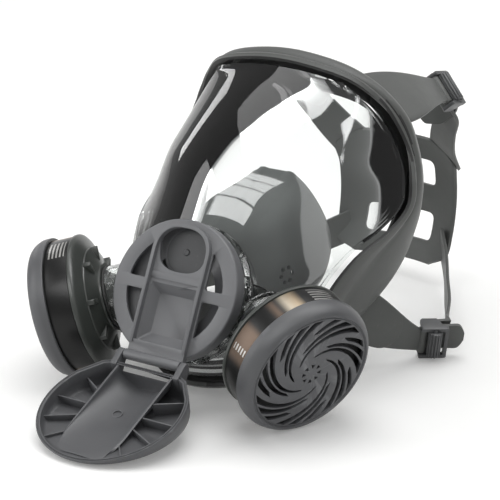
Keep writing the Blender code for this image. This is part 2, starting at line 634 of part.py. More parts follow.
# ---------------------------------------------------------------- cartridges
def swirl_slot(start, end, turn, half_angle, steps):
    """A slot that swirls outwards: the angle falls by SWIRL_PITCH degrees for each e-fold of radius."""
    radii = [start * (end / start) ** (i / steps) for i in range(steps + 1)]

    def side(offset):
        return [(r * cos(radians(turn + offset - SWIRL_PITCH * log(r / SWIRL_START))),
                 r * sin(radians(turn + offset - SWIRL_PITCH * log(r / SWIRL_START)))) for r in radii]

    return side(half_angle) + side(-half_angle)[::-1]


def make_cartridge(side, name):
    holder = empty(f"cartridge_axis_{name}", cartridge_matrix(side), MASK)
    cap = turned(f"cartridge_cap_{name}",
                 [(0.0, 0.0066), (0.0350, 0.0066), (0.0360, 0.0074), (0.0384, 0.0074), (0.0410, 0.0056),
                  (0.0430, 0.0024), (CAP_RADIUS, -0.0012), (CAP_RADIUS, -0.0050), (0.0420, -0.0050),
                  (0.0420, -0.0008), (0.0408, 0.0022), (0.0388, 0.0048), (0.0, 0.0048)],
                 holder, "shell", closed=False, steps=ROUND)
    for i in range(SWIRLS):
        for j, start in enumerate((0.0118, 0.0186)):
            slot = swirl_slot(start, 0.0345, 142 - 360 / SWIRLS * i + 14 * j, 4.6, 4)
            cut(cap, plate_mesh(f"slot_{name}_{i}_{j}", [slot], 0.003, 0.009))
    turned(f"cartridge_body_{name}",
           [(0.0395, -0.0010), (0.0412, -0.0010), (0.0412, -0.0202), (0.0425, -0.0206),
            (0.0425, -CAN_BACK), (0.0400, -0.0245), (0.0215, -0.0330), (0.0215, -0.0345),
            (NECK_RADIUS, -0.0345), (NECK_RADIUS, -0.0450), (0.0115, -0.0450), (0.0115, -0.0320),
            (0.0190, -0.0310), (0.0375, -0.0232), (0.0395, -0.0222)], holder, "can", steps=ROUND)
    turned(f"cartridge_label_{name}", [(0.0412 + GAP, -0.0056), (0.0419, -0.0056), (0.0419, -0.0200),
                                       (0.0412 + GAP, -0.0200)], holder, "label", steps=ROUND)
    turned(f"filter_pad_{name}", [(0, -0.0012), (0.0388, -0.0012), (0.0388, -0.0052), (0, -0.0052)],
           holder, "felt", closed=False, steps=ROUND)
    turned(f"carbon_bed_{name}", [(0, -0.0056), (0.0388, -0.0056), (0.0388, -0.0215), (0, -0.0215)],
           holder, "carbon", closed=False, steps=ROUND)
    turned(f"port_gasket_{name}", [(0.0140, -0.0348), (0.0195, -0.0348), (0.0195, -0.0358),
                                   (0.0140, -0.0358)], holder, "rubber", steps=ROUND)
    seat = turned(f"inhalation_seat_{name}",
                  [(0.0130, -0.0455), (PORT_BORE - GAP, -0.0455), (PORT_BORE - GAP, -0.0475),
                   (0.0130, -0.0475)], holder, "shell", steps=ROUND)
    for turn in (0, 90):
        spoke = box_mesh(f"inhale_spoke_{name}_{turn}", (-0.0138, -0.0010, -0.0472), (0.0138, 0.0010, -0.0458))
        spoke.transform(Matrix.Rotation(radians(turn), 4, "Z"))
        join(seat, spoke)
    turned(f"inhalation_flap_{name}", [(0, -0.0478), (0.0150, -0.0478), (0.0150, -0.0486), (0, -0.0486)],
           holder, "flap", closed=False, steps=24)


# ---------------------------------------------------------------- buckles and harness
def make_buckle(level, side, name):
    place = buckle_matrix(level, side)
    holder = empty(f"buckle_axis_{name}", place @ Matrix.Translation((BAR_X, 0, BAR_Z)), MASK)
    back = Matrix.Translation((-BAR_X, 0, -BAR_Z))
    inner = STRAP_WIDTH / 2 + 0.0005
    long, wide = FRAME_HALF_LENGTH, FRAME_HALF_WIDTH

    def placed(mesh):
        mesh.transform(back)
        return mesh

    outline = [[(-long, -wide), (long, -wide), (long, wide), (-long, wide), (-long, inner),
                (long - 0.0024, inner), (long - 0.0024, -inner), (-long, -inner)]]
    frame = add(f"buckle_frame_{name}", placed(plate_mesh(f"buckle_frame_{name}", outline, 0.0004, 0.0034)),
                holder, "buckle", smooth=False)
    for hand in (1, -1):
        low, high = sorted((hand * inner, hand * wide))
        join(frame, placed(box_mesh(f"cheek_{name}_{hand}", (-long, low, -0.0068), (0.0030, high, 0.0010))))
    join(frame, placed(rod_mesh(f"front_bar_{name}", BAR_RADIUS, -wide + 0.001, wide - 0.001, "Y",
                                (BAR_X, 0, BAR_Z), 16)))
    join(frame, placed(box_mesh(f"cross_bar_{name}", (CROSS_X - 0.0020, -wide + 0.001, CROSS_Z - 0.0009),
                                (CROSS_X + 0.0020, wide - 0.001, CROSS_Z + 0.0009))))
    for hand in (1, -1):
        low, high = sorted((hand * (inner - 0.001), hand * (inner + 0.0018)))
        cut(frame, placed(rod_mesh(f"roller_seat_{name}_{hand}", 0.0019, low, high, "Y",
                                   (ROLLER_X, 0, ROLLER_Z), 16)))
    axle = empty(f"roller_axis_{name}", place @ Matrix.Translation((ROLLER_X, 0, ROLLER_Z)), MASK)
    roller = add(f"buckle_roller_{name}",
                 rod_mesh(f"buckle_roller_{name}", ROLLER_RADIUS, -inner + GAP, inner - GAP, "Y",
                          segments=24), axle, "buckle")
    join(roller, rod_mesh(f"roller_pins_{name}", 0.0015, -inner - 0.0015, inner + 0.0015, "Y", segments=12))


def strap_through_buckle(level):
    """Strap stations in the left buckle: tail end, under the roller, round the crossbar and out."""
    turn_radius = 0.0009 + 0.0004 + STRAP_THICK / 2
    top, low = CROSS_Z + turn_radius, CROSS_Z - turn_radius
    front = CROSS_X - 0.0020
    if level == "upper":
        tail = [(0.0180, -0.0330), (0.0190, -0.0250), (0.0185, -0.0170), (0.0165, -0.0105),
                (0.0135, -0.0060), (0.0100, top)]
        widths = [0.0120, 0.0230, 0.0250, 0.0240, 0.0210, STRAP_WIDTH]
    else:
        tail = [(0.0200, top), (0.0185, top), (0.0160, top), (0.0100, top)]
        widths = [0.0090, 0.0160, STRAP_WIDTH, STRAP_WIDTH]
    bend = [(front + turn_radius * cos(a), CROSS_Z + turn_radius * sin(a))
            for a in [pi / 2 + pi * i / 6 for i in range(7)]]
    out = [(0.0040, low), (0.0090, low)]
    flat = tail + bend + out
    widths += [STRAP_WIDTH] * (len(bend) + len(out))
    place = buckle_matrix(level, 1)
    points = [place @ Vector((x, 0, z)) for x, z in flat]
    across = place.to_3x3() @ Vector((0, 1, 0))
    return points, [across] * len(points), widths


def strap_mesh(level, side):
    """One strap of the harness, from its tail end to inside the pad; the right is a mirror."""
    points, sides, widths = strap_through_buckle(level)
    route = UPPER_STRAP if level == "upper" else LOWER_STRAP
    path = smooth_path([points[-1]] + [Vector(p) for p in route], 3)[1:]
    start = sides[-1]
    end = Vector((-0.85, 0.25, 0.35)) if level == "upper" else Vector((0.0, -0.1, 1.0))
    for i, point in enumerate(path):
        t = ((i + 1) / len(path)) ** 2
        points.append(point)
        sides.append(start.lerp(end, t).normalized())
        widths.append(STRAP_WIDTH + (0.010 * t if level == "upper" else 0.004 * t))
    mesh = ribbon_mesh(f"strap_{level}_{side}", points, sides, widths, STRAP_THICK)
    if side < 0:
        mesh.transform(Matrix.Diagonal((-1, 1, 1, 1)))
        mesh.flip_normals()
    return mesh


def make_harness():
    count = 10
    rows = []
    for height, half, depth in PAD_ROWS:
        row = []
        for i in range(count + 1):
            x = half * (2 * i / count - 1)
            row.append(Vector((x, depth - PAD_CURL * (x / PAD_HALF_WIDTH) ** 2, height)))
        rows.append(row)
    pad = add("head_harness", loft_mesh("head_harness", rows), MASK, "rubber")
    thicken(pad, 0.0026, 0)
    for level, low, high in (("upper", 0.0700, 0.0900), ("lower", 0.0300, 0.0500)):
        cut(pad, box_mesh(f"pad_window_{level}", (-0.0270, 0.26, low), (0.0270, 0.32, high)))
    for side in (1, -1):
        for level in ("upper", "lower"):
            join(pad, strap_mesh(level, side))


# ---------------------------------------------------------------- build
make_exhalation_body()
make_exhalation_valve()
make_lid()
make_lens()
make_face_seal()
make_nose_cup()
for SIDE, WORD in ((1, "left"), (-1, "right")):
    make_cartridge(SIDE, WORD)
    for LEVEL in ("upper", "lower"):
        make_buckle(LEVEL, SIDE, f"{LEVEL}_{WORD}")
make_harness()
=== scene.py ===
# %% [markdown]
# # Full face respirator
# This notebook dresses a imported CAD model of a full face respirator in Blender. The CAD bodies and joints
# stay as they are; each cell below models one real piece of the mask, in metres, puts it on the body that it
# rides on and hides the CAD node that it stands for.

# %% Load the fixed frame
from math import asin, atan2, cos, exp, log, pi, radians, sin, tau

import bmesh
import bpy
from mathutils import Matrix, Vector


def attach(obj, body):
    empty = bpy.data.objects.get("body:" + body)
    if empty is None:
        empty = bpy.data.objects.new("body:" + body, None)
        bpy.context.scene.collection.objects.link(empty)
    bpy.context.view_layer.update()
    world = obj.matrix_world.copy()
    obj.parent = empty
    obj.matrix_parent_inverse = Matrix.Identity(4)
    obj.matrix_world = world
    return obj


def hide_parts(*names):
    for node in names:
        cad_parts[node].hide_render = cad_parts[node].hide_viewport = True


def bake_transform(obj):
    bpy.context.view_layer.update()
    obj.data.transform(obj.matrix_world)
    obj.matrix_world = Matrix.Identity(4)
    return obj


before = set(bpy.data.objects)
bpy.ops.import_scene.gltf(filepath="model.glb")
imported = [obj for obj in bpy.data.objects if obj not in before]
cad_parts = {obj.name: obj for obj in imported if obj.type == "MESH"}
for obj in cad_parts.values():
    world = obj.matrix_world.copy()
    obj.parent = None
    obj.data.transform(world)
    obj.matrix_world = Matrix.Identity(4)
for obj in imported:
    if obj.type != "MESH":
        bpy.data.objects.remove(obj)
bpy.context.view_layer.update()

# %% [markdown]
# ## Camera, floor and light
# The mask stands on a pale table. A long lens keeps the perspective calm. The camera looks down a little,
# from the wearer's left, so that one cartridge, the open lid and the near side of the visor all show.

# %% Camera
CAMERA_AT = Vector((0.5917, -0.9633, 0.4483))
CAMERA_TARGET = Vector((0.0533, -0.0976, 0.1081))
CAMERA_ROLL = radians(0.69)


def axes(origin, x_axis, z_axis):
    """A frame with its X and Z along the given directions, and Y to close the hand."""
    x, z = Vector(x_axis).normalized(), Vector(z_axis).normalized()
    return Matrix.Translation(origin) @ Matrix((x, z.cross(x), z)).transposed().to_4x4()


back = (CAMERA_AT - CAMERA_TARGET).normalized()
level = Vector((0, 0, 1)).cross(back).normalized()
camera_data = bpy.data.cameras.new("camera")
camera_data.lens = 134.04
camera_data.sensor_width = 36
camera = bpy.data.objects.new("camera", camera_data)
bpy.context.scene.collection.objects.link(camera)
camera.matrix_world = axes(CAMERA_AT, level, back) @ Matrix.Rotation(CAMERA_ROLL, 4, "Z")
bpy.context.scene.camera = camera
print("camera distance:", round((CAMERA_AT - CAMERA_TARGET).length, 3))


# %% [markdown]
# An operator acts on everything that is selected, and the loaded CAD nodes start out selected. So each step
# begins by choosing one object.

# %% Small helpers for operators
def only(obj):
    """Select and activate one object."""
    if bpy.context.mode != "OBJECT":
        bpy.ops.object.mode_set(mode="OBJECT")
    bpy.ops.object.select_all(action="DESELECT")
    obj.select_set(True)
    bpy.context.view_layer.objects.active = obj
    return obj


def added(name):
    """Name the primitive that was just added."""
    obj = bpy.context.object
    obj.name = obj.data.name = name
    return obj


def place(obj, matrix):
    """Put a piece, modelled round the origin, at its place, and keep that place in the mesh."""
    only(obj)
    obj.matrix_world = matrix @ obj.matrix_world
    bpy.ops.object.transform_apply(location=True, rotation=True, scale=True)
    return obj


def apply_all(obj):
    only(obj)
    for step in list(obj.modifiers):
        bpy.ops.object.modifier_apply(modifier=step.name)
    return obj


def joined(name, pieces):
    """Join loose solids that are one moulding."""
    only(pieces[0])
    for piece in pieces[1:]:
        piece.select_set(True)
    bpy.ops.object.join()
    return added(name)


def smooth(obj, angle=40):
    only(obj)
    bpy.ops.object.shade_smooth_by_angle(angle=radians(angle))
    return obj


def round_edges(obj, width, segments=2, angle=35):
    """Moulded edges are never knife sharp."""
    step = obj.modifiers.new("rounded edges", "BEVEL")
    step.width, step.segments, step.limit_method = width, segments, "ANGLE"
    step.angle_limit = radians(angle)
    step.harden_normals = False
    return apply_all(obj)


def carve(obj, cutter):
    """Cut one solid out of another and throw the cutter away."""
    step = obj.modifiers.new("carve", "BOOLEAN")
    step.operation, step.solver, step.object = "DIFFERENCE", "EXACT", cutter
    apply_all(obj)
    bpy.data.objects.remove(cutter, do_unlink=True)
    return obj


def join_solid(obj, other):
    """Grow one solid onto another, as one moulding."""
    step = obj.modifiers.new("join", "BOOLEAN")
    step.operation, step.solver, step.object = "UNION", "EXACT", other
    apply_all(obj)
    bpy.data.objects.remove(other, do_unlink=True)
    return obj


# %% Floor and backdrop
def floor_material():
    made = bpy.data.materials.new("pale_floor")
    made.use_nodes = True
    nodes, links = made.node_tree.nodes, made.node_tree.links
    nodes.clear()
    out = nodes.new("ShaderNodeOutputMaterial")
    out.label, out.location = "floor surface", (600, 0)
    paper = nodes.new("ShaderNodeBsdfPrincipled")
    paper.label, paper.location = "matt paper sweep", (200, 0)
    paper.inputs["Base Color"].default_value = (0.86, 0.86, 0.85, 1)
    paper.inputs["Roughness"].default_value = 0.75
    paper.inputs["Emission Color"].default_value = (1.0, 1.0, 0.995, 1)
    paper.inputs["Emission Strength"].default_value = 0.16
    links.new(paper.outputs["BSDF"], out.inputs["Surface"])
    return made


bpy.ops.object.select_all(action="DESELECT")
bpy.ops.mesh.primitive_plane_add(size=9, location=(0, 2.5, 0))
floor = added("floor")
place(floor, Matrix.Identity(4))
only(floor)
bpy.ops.object.mode_set(mode="EDIT")
bpy.ops.mesh.select_mode(type="EDGE")
bpy.ops.mesh.select_all(action="DESELECT")
sheet_edges = bmesh.from_edit_mesh(floor.data)
for edge in sheet_edges.edges:
    edge.select_set(all(vert.co.y > 6 for vert in edge.verts))
bmesh.update_edit_mesh(floor.data)
bpy.ops.mesh.extrude_region_move(TRANSFORM_OT_translate={"value": (0, 0, 5)})
bpy.ops.object.mode_set(mode="OBJECT")
floor.data.materials.append(floor_material())


# %% Soft lights
def softbox(name, at, target, width, height, watts):
    """A rectangular softbox that faces its target."""
    data = bpy.data.lights.new(name, "AREA")
    data.shape, data.size, data.size_y, data.energy = "RECTANGLE", width, height, watts
    lamp = bpy.data.objects.new(name, data)
    bpy.context.scene.collection.objects.link(lamp)
    away = (Vector(at) - Vector(target)).normalized()
    side = Vector((0, 0, 1)).cross(away)
    side = side if side.length > 0.01 else Vector((1, 0, 0))
    lamp.matrix_world = axes(Vector(at), side, away)
    return lamp


softbox("overhead", (-0.1, 0.1, 1.7), (0, 0, 0.05), 1.5, 1.5, 18)
softbox("left_window", (-1.3, -1.0, 0.7), (0, 0, 0.1), 0.9, 1.2, 13)
softbox("right_window", (1.5, -0.4, 0.8), (0, 0, 0.1), 0.4, 1.2, 2.5)
softbox("sweep_light", (0, 3.0, 2.2), (0, 4.5, 0), 4.0, 2.0, 120)


# %% Bright cards
LENS_FRONT = Vector((0.02, -0.02, 0.15))
CARD_DISTANCE = 1.3


def bright_card(name, corners, strength, rows=1, gap=0.0):
    """A glowing card that only shows in reflections; its corners are given as directions from the lens."""
    spots = [LENS_FRONT + CARD_DISTANCE * Vector(c).normalized() for c in corners]
    made = bpy.data.materials.new(name)
    made.use_nodes = True
    nodes, links = made.node_tree.nodes, made.node_tree.links
    nodes.clear()
    out = nodes.new("ShaderNodeOutputMaterial")
    out.label, out.location = "card", (300, 0)
    glow = nodes.new("ShaderNodeEmission")
    glow.label, glow.location = "even glow", (0, 0)
    glow.inputs["Strength"].default_value = strength
    links.new(glow.outputs["Emission"], out.inputs["Surface"])
    for row in range(rows):
        low, high = row / rows, (row + 1 - gap) / rows
        bpy.ops.object.select_all(action="DESELECT")
        bpy.ops.mesh.primitive_plane_add(size=1)
        card = added(f"{name}_{row}")
        a, b, c, d = spots
        places = [a.lerp(d, low), b.lerp(c, low), a.lerp(d, high), b.lerp(c, high)]
        for vert, spot in zip(card.data.vertices, places):
            vert.co = spot
        card.data.materials.append(made)
        card.visible_camera = card.visible_diffuse = card.visible_shadow = False
        card.visible_transmission = card.visible_volume_scatter = False


# The first two stand far round the wearer's right and wash the lens edge; the others hang above
# and in front.
bright_card("edge_wash", [(-0.86, 0.50, -0.22), (-0.50, 0.86, -0.22), (-0.50, 0.86, 0.30),
                          (-0.86, 0.50, 0.30)], 1.1)
bright_card("streak", [(-0.960, 0.250, 0.100), (-0.930, 0.375, 0.100), (-0.770, 0.385, 0.510),
                       (-0.810, 0.300, 0.510)], 5.0)
bright_card("top_line", [(-0.410, 0.180, 0.90), (0.200, -0.175, 0.96), (0.225, -0.150, 0.96),
                         (-0.385, 0.195, 0.90)], 6.0)
bright_card("top_band", [(-0.336, 0.177, 0.925), (0.246, -0.119, 0.962), (0.379, -0.115, 0.918),
                         (-0.180, 0.082, 0.980)], 5.0)
bright_card("top_panel", [(-0.027, 0.017, 1.000), (0.415, -0.057, 0.908), (0.791, 0.162, 0.591),
                          (0.436, 0.652, 0.620)], 7.0)
bright_card("front_bands", [(-0.466, -0.778, 0.422), (0.311, -0.829, 0.464), (0.654, -0.418, 0.630),
                            (-0.005, -0.598, 0.802)], 6.5, 4, 0.10)

world = bpy.data.worlds.new("studio")
bpy.context.scene.world = world
world.use_nodes = True
world.node_tree.nodes["Background"].inputs["Color"].default_value = (1, 1, 1, 1)
world.node_tree.nodes["Background"].inputs["Strength"].default_value = 0.42
bpy.context.scene.view_settings.view_transform = "Standard"


# %% [markdown]
# ## Finishes
# Three families of finish cover almost the whole mask: moulded plastic with a fine spark texture, moulded
# rubber with faint flow marks and a dusty bloom, and clear polycarbonate. Each family is one function, so
# that the disc, the buckles and the caps differ only in their numbers.

# %% Moulded plastic
def moulded_plastic(name, dark, light, gloss, grain_scale, grain_height):
    """Spark-textured plastic: slow colour drift, fine grain, and edges that have rubbed a little paler."""
    made = bpy.data.materials.new(name)
    made.use_nodes = True
    nodes, links = made.node_tree.nodes, made.node_tree.links
    nodes.clear()
    colour_frame = nodes.new("NodeFrame")
    colour_frame.label = "colour and rubbed edges"
    relief_frame = nodes.new("NodeFrame")
    relief_frame.label = "grain and gloss"
    out = nodes.new("ShaderNodeOutputMaterial")
    out.label, out.location = "plastic", (900, 0)
    skin_shader = nodes.new("ShaderNodeBsdfPrincipled")
    skin_shader.label, skin_shader.location = "moulded surface", (600, 0)
    skin_shader.inputs["IOR"].default_value = 1.48
    where = nodes.new("ShaderNodeTexCoord")
    where.label, where.location = "place on the piece", (-900, 0)
    drift = nodes.new("ShaderNodeTexNoise")
    drift.label, drift.location, drift.parent = "slow colour drift", (-600, 250), colour_frame
    drift.inputs["Scale"].default_value = 45
    drift.inputs["Detail"].default_value = 3
    tone = nodes.new("ShaderNodeMix")
    tone.label, tone.location, tone.parent = "dark to light", (-350, 250), colour_frame
    tone.data_type = "RGBA"
    tone.inputs["A"].default_value = dark
    tone.inputs["B"].default_value = light
    shape = nodes.new("ShaderNodeNewGeometry")
    shape.label, shape.location, shape.parent = "how sharp the edge is", (-600, 500), colour_frame
    rubbed = nodes.new("ShaderNodeMapRange")
    rubbed.label, rubbed.location, rubbed.parent = "only the edges", (-350, 500), colour_frame
    rubbed.inputs["From Min"].default_value = 0.53
    rubbed.inputs["From Max"].default_value = 0.66
    rubbed.inputs["To Max"].default_value = 0.45
    edge_tone = nodes.new("ShaderNodeMix")
    edge_tone.label, edge_tone.location, edge_tone.parent = "rubbed edges", (-50, 300), colour_frame
    edge_tone.data_type = "RGBA"
    edge_tone.inputs["B"].default_value = tuple(min(1, c * 1.8 + 0.02) for c in light[:3]) + (1,)
    grain = nodes.new("ShaderNodeTexNoise")
    grain.label, grain.location, grain.parent = "spark grain", (-600, -300), relief_frame
    grain.inputs["Scale"].default_value = grain_scale
    grain.inputs["Detail"].default_value = 2
    shine = nodes.new("ShaderNodeMapRange")
    shine.label, shine.location, shine.parent = "gloss varies", (-300, -150), relief_frame
    shine.inputs["To Min"].default_value = gloss - 0.06
    shine.inputs["To Max"].default_value = gloss + 0.08
    relief = nodes.new("ShaderNodeBump")
    relief.label, relief.location, relief.parent = "grain relief", (-300, -400), relief_frame
    relief.inputs["Strength"].default_value = 0.35
    relief.inputs["Distance"].default_value = grain_height
    links.new(where.outputs["Object"], drift.inputs["Vector"])
    links.new(where.outputs["Object"], grain.inputs["Vector"])
    links.new(drift.outputs["Fac"], tone.inputs["Factor"])
    links.new(shape.outputs["Pointiness"], rubbed.inputs["Value"])
    links.new(rubbed.outputs["Result"], edge_tone.inputs["Factor"])
    links.new(tone.outputs["Result"], edge_tone.inputs["A"])
    links.new(edge_tone.outputs["Result"], skin_shader.inputs["Base Color"])
    links.new(drift.outputs["Fac"], shine.inputs["Value"])
    links.new(shine.outputs["Result"], skin_shader.inputs["Roughness"])
    links.new(grain.outputs["Fac"], relief.inputs["Height"])
    links.new(relief.outputs["Normal"], skin_shader.inputs["Normal"])
    links.new(skin_shader.outputs["BSDF"], out.inputs["Surface"])
    return made


shell_plastic = moulded_plastic("shell_plastic", (0.060, 0.061, 0.066, 1), (0.087, 0.089, 0.094, 1),
                                0.46, 900, 0.00012)
buckle_plastic = moulded_plastic("buckle_plastic", (0.050, 0.052, 0.054, 1), (0.075, 0.077, 0.080, 1),
                                 0.42, 700, 0.00008)
can_plastic = moulded_plastic("can_plastic", (0.030, 0.034, 0.031, 1), (0.050, 0.055, 0.050, 1),
                              0.30, 500, 0.00004)


# %% Moulded rubber
def moulded_rubber(name, dark, light, gloss, bloom):
    """Soft elastomer: cloudy tone, flow marks, and a faint pale bloom of dust specks."""
    made = bpy.data.materials.new(name)
    made.use_nodes = True
    nodes, links = made.node_tree.nodes, made.node_tree.links
    nodes.clear()
    colour_frame = nodes.new("NodeFrame")
    colour_frame.label = "cloudy colour and bloom"
    relief_frame = nodes.new("NodeFrame")
    relief_frame.label = "flow marks and skin"
    out = nodes.new("ShaderNodeOutputMaterial")
    out.label, out.location = "rubber", (900, 0)
    skin_shader = nodes.new("ShaderNodeBsdfPrincipled")
    skin_shader.label, skin_shader.location = "rubber skin", (600, 0)
    skin_shader.inputs["IOR"].default_value = 1.45
    skin_shader.inputs["Sheen Weight"].default_value = 0.12
    skin_shader.inputs["Sheen Roughness"].default_value = 0.5
    where = nodes.new("ShaderNodeTexCoord")
    where.label, where.location = "place on the piece", (-1000, 0)
    cloud = nodes.new("ShaderNodeTexNoise")
    cloud.label, cloud.location, cloud.parent = "cloudy mix", (-700, 250), colour_frame
    cloud.inputs["Scale"].default_value = 28
    cloud.inputs["Detail"].default_value = 5
    tone = nodes.new("ShaderNodeMix")
    tone.label, tone.location, tone.parent = "dark to light", (-400, 250), colour_frame
    tone.data_type = "RGBA"
    tone.inputs["A"].default_value = dark
    tone.inputs["B"].default_value = light
    dust = nodes.new("ShaderNodeTexNoise")
    dust.label, dust.location, dust.parent = "specks of dust", (-700, 550), colour_frame
    dust.inputs["Scale"].default_value = 650
    dust.inputs["Detail"].default_value = 1
    specks = nodes.new("ShaderNodeMapRange")
    specks.label, specks.location, specks.parent = "few specks", (-400, 550), colour_frame
    specks.inputs["From Min"].default_value = 0.66
    specks.inputs["From Max"].default_value = 0.80
    specks.inputs["To Max"].default_value = bloom
    dusty = nodes.new("ShaderNodeMix")
    dusty.label, dusty.location, dusty.parent = "dusty skin", (-100, 350), colour_frame
    dusty.data_type = "RGBA"
    dusty.inputs["B"].default_value = (0.42, 0.42, 0.41, 1)
    flow = nodes.new("ShaderNodeTexNoise")
    flow.label, flow.location, flow.parent = "flow marks", (-700, -250), relief_frame
    flow.inputs["Scale"].default_value = 120
    flow.inputs["Detail"].default_value = 6
    flow.inputs["Distortion"].default_value = 0.8
    shine = nodes.new("ShaderNodeMapRange")
    shine.label, shine.location, shine.parent = "satin to matt", (-350, -150), relief_frame
    shine.inputs["To Min"].default_value = gloss - 0.07
    shine.inputs["To Max"].default_value = gloss + 0.10
    relief = nodes.new("ShaderNodeBump")
    relief.label, relief.location, relief.parent = "skin relief", (-350, -400), relief_frame
    relief.inputs["Strength"].default_value = 0.25
    relief.inputs["Distance"].default_value = 0.0002
    links.new(where.outputs["Object"], cloud.inputs["Vector"])
    links.new(where.outputs["Object"], dust.inputs["Vector"])
    links.new(where.outputs["Object"], flow.inputs["Vector"])
    links.new(cloud.outputs["Fac"], tone.inputs["Factor"])
    links.new(dust.outputs["Fac"], specks.inputs["Value"])
    links.new(specks.outputs["Result"], dusty.inputs["Factor"])
    links.new(tone.outputs["Result"], dusty.inputs["A"])
    links.new(dusty.outputs["Result"], skin_shader.inputs["Base Color"])
    links.new(flow.outputs["Fac"], shine.inputs["Value"])
    links.new(shine.outputs["Result"], skin_shader.inputs["Roughness"])
    links.new(flow.outputs["Fac"], relief.inputs["Height"])
    links.new(relief.outputs["Normal"], skin_shader.inputs["Normal"])
    links.new(skin_shader.outputs["BSDF"], out.inputs["Surface"])
    return made


seal_rubber = moulded_rubber("seal_rubber", (0.054, 0.057, 0.054, 1), (0.074, 0.078, 0.074, 1), 0.50, 0.04)
# A near-black copy of the seal rubber: painted shade for the skirt's inward faces.
painted_shade_rubber = moulded_rubber("painted_shade_rubber", (0.009, 0.009, 0.009, 1), (0.016, 0.016, 0.016, 1),
                              0.55, 0.02)
cup_rubber = moulded_rubber("cup_rubber", (0.120, 0.126, 0.124, 1), (0.150, 0.157, 0.154, 1), 0.50, 0.03)
valve_rubber = moulded_rubber("valve_rubber", (0.028, 0.029, 0.031, 1), (0.040, 0.042, 0.045, 1), 0.50,
                              0.04)
gasket_rubber = moulded_rubber("gasket_rubber", (0.020, 0.020, 0.020, 1), (0.035, 0.035, 0.035, 1),
                               0.55, 0.02)
felt = moulded_rubber("felt", (0.010, 0.010, 0.010, 1), (0.030, 0.030, 0.030, 1), 0.85, 0.10)
carbon = moulded_rubber("carbon", (0.006, 0.006, 0.006, 1), (0.020, 0.020, 0.020, 1), 0.80, 0.15)


# %% Clear polycarbonate
def clear_sheet(name):
    """A thin clear wall lets almost everything through and mirrors a little, more at a glancing angle."""
    made = bpy.data.materials.new(name)
    made.use_nodes = True
    nodes, links = made.node_tree.nodes, made.node_tree.links
    nodes.clear()
    out = nodes.new("ShaderNodeOutputMaterial")
    out.label, out.location = "clear wall", (700, 0)
    both = nodes.new("ShaderNodeMixShader")
    both.label, both.location = "see through or mirror", (450, 0)
    through = nodes.new("ShaderNodeBsdfTransparent")
    through.label, through.location = "what lies behind", (150, 80)
    through.inputs["Color"].default_value = (0.972, 0.984, 0.980, 1)
    mirror = nodes.new("ShaderNodeBsdfGlossy")
    mirror.label, mirror.location = "polished skin", (150, -120)
    glance = nodes.new("ShaderNodeFresnel")
    glance.label, glance.location = "glancing angle", (150, 250)
    glance.inputs["IOR"].default_value = 1.58
    where = nodes.new("ShaderNodeTexCoord")
    where.label, where.location = "place on the lens", (-600, -120)
    scuffs = nodes.new("ShaderNodeTexNoise")
    scuffs.label, scuffs.location = "fine scuffs", (-380, -120)
    scuffs.inputs["Scale"].default_value = 260
    scuffs.inputs["Detail"].default_value = 4
    haze = nodes.new("ShaderNodeMapRange")
    haze.label, haze.location = "polish varies", (-120, -120)
    haze.inputs["From Min"].default_value = 0.45
    haze.inputs["From Max"].default_value = 0.85
    haze.inputs["To Min"].default_value = 0.008
    haze.inputs["To Max"].default_value = 0.06
    links.new(where.outputs["Object"], scuffs.inputs["Vector"])
    links.new(scuffs.outputs["Fac"], haze.inputs["Value"])
    links.new(haze.outputs["Result"], mirror.inputs["Roughness"])
    links.new(glance.outputs["Fac"], both.inputs["Fac"])
    links.new(through.outputs["BSDF"], both.inputs[1])
    links.new(mirror.outputs["BSDF"], both.inputs[2])
    links.new(both.outputs["Shader"], out.inputs["Surface"])
    return made


def clear_block(name):
    """Thick clear mouldings bend light, so collars and ribs look crinkled."""
    made = bpy.data.materials.new(name)
    made.use_nodes = True
    nodes, links = made.node_tree.nodes, made.node_tree.links
    nodes.clear()
    out = nodes.new("ShaderNodeOutputMaterial")
    out.label, out.location = "clear block", (500, 0)
    body = nodes.new("ShaderNodeBsdfPrincipled")
    body.label, body.location = "refracting body", (200, 0)
    body.inputs["Base Color"].default_value = (0.93, 0.95, 0.94, 1)
    body.inputs["Roughness"].default_value = 0.03
    body.inputs["IOR"].default_value = 1.45
    body.inputs["Transmission Weight"].default_value = 1.0
    where = nodes.new("ShaderNodeTexCoord")
    where.label, where.location = "place on the collar", (-600, -200)
    ripple = nodes.new("ShaderNodeTexNoise")
    ripple.label, ripple.location = "moulding ripples", (-380, -200)
    ripple.inputs["Scale"].default_value = 180
    relief = nodes.new("ShaderNodeBump")
    relief.label, relief.location = "ripple relief", (-120, -200)
    relief.inputs["Strength"].default_value = 0.5
    relief.inputs["Distance"].default_value = 0.0008
    links.new(where.outputs["Object"], ripple.inputs["Vector"])
    links.new(ripple.outputs["Fac"], relief.inputs["Height"])
    links.new(relief.outputs["Normal"], body.inputs["Normal"])
    links.new(body.outputs["BSDF"], out.inputs["Surface"])
    return made


lens_clear = clear_sheet("lens_clear")
collar_clear = clear_block("collar_clear")


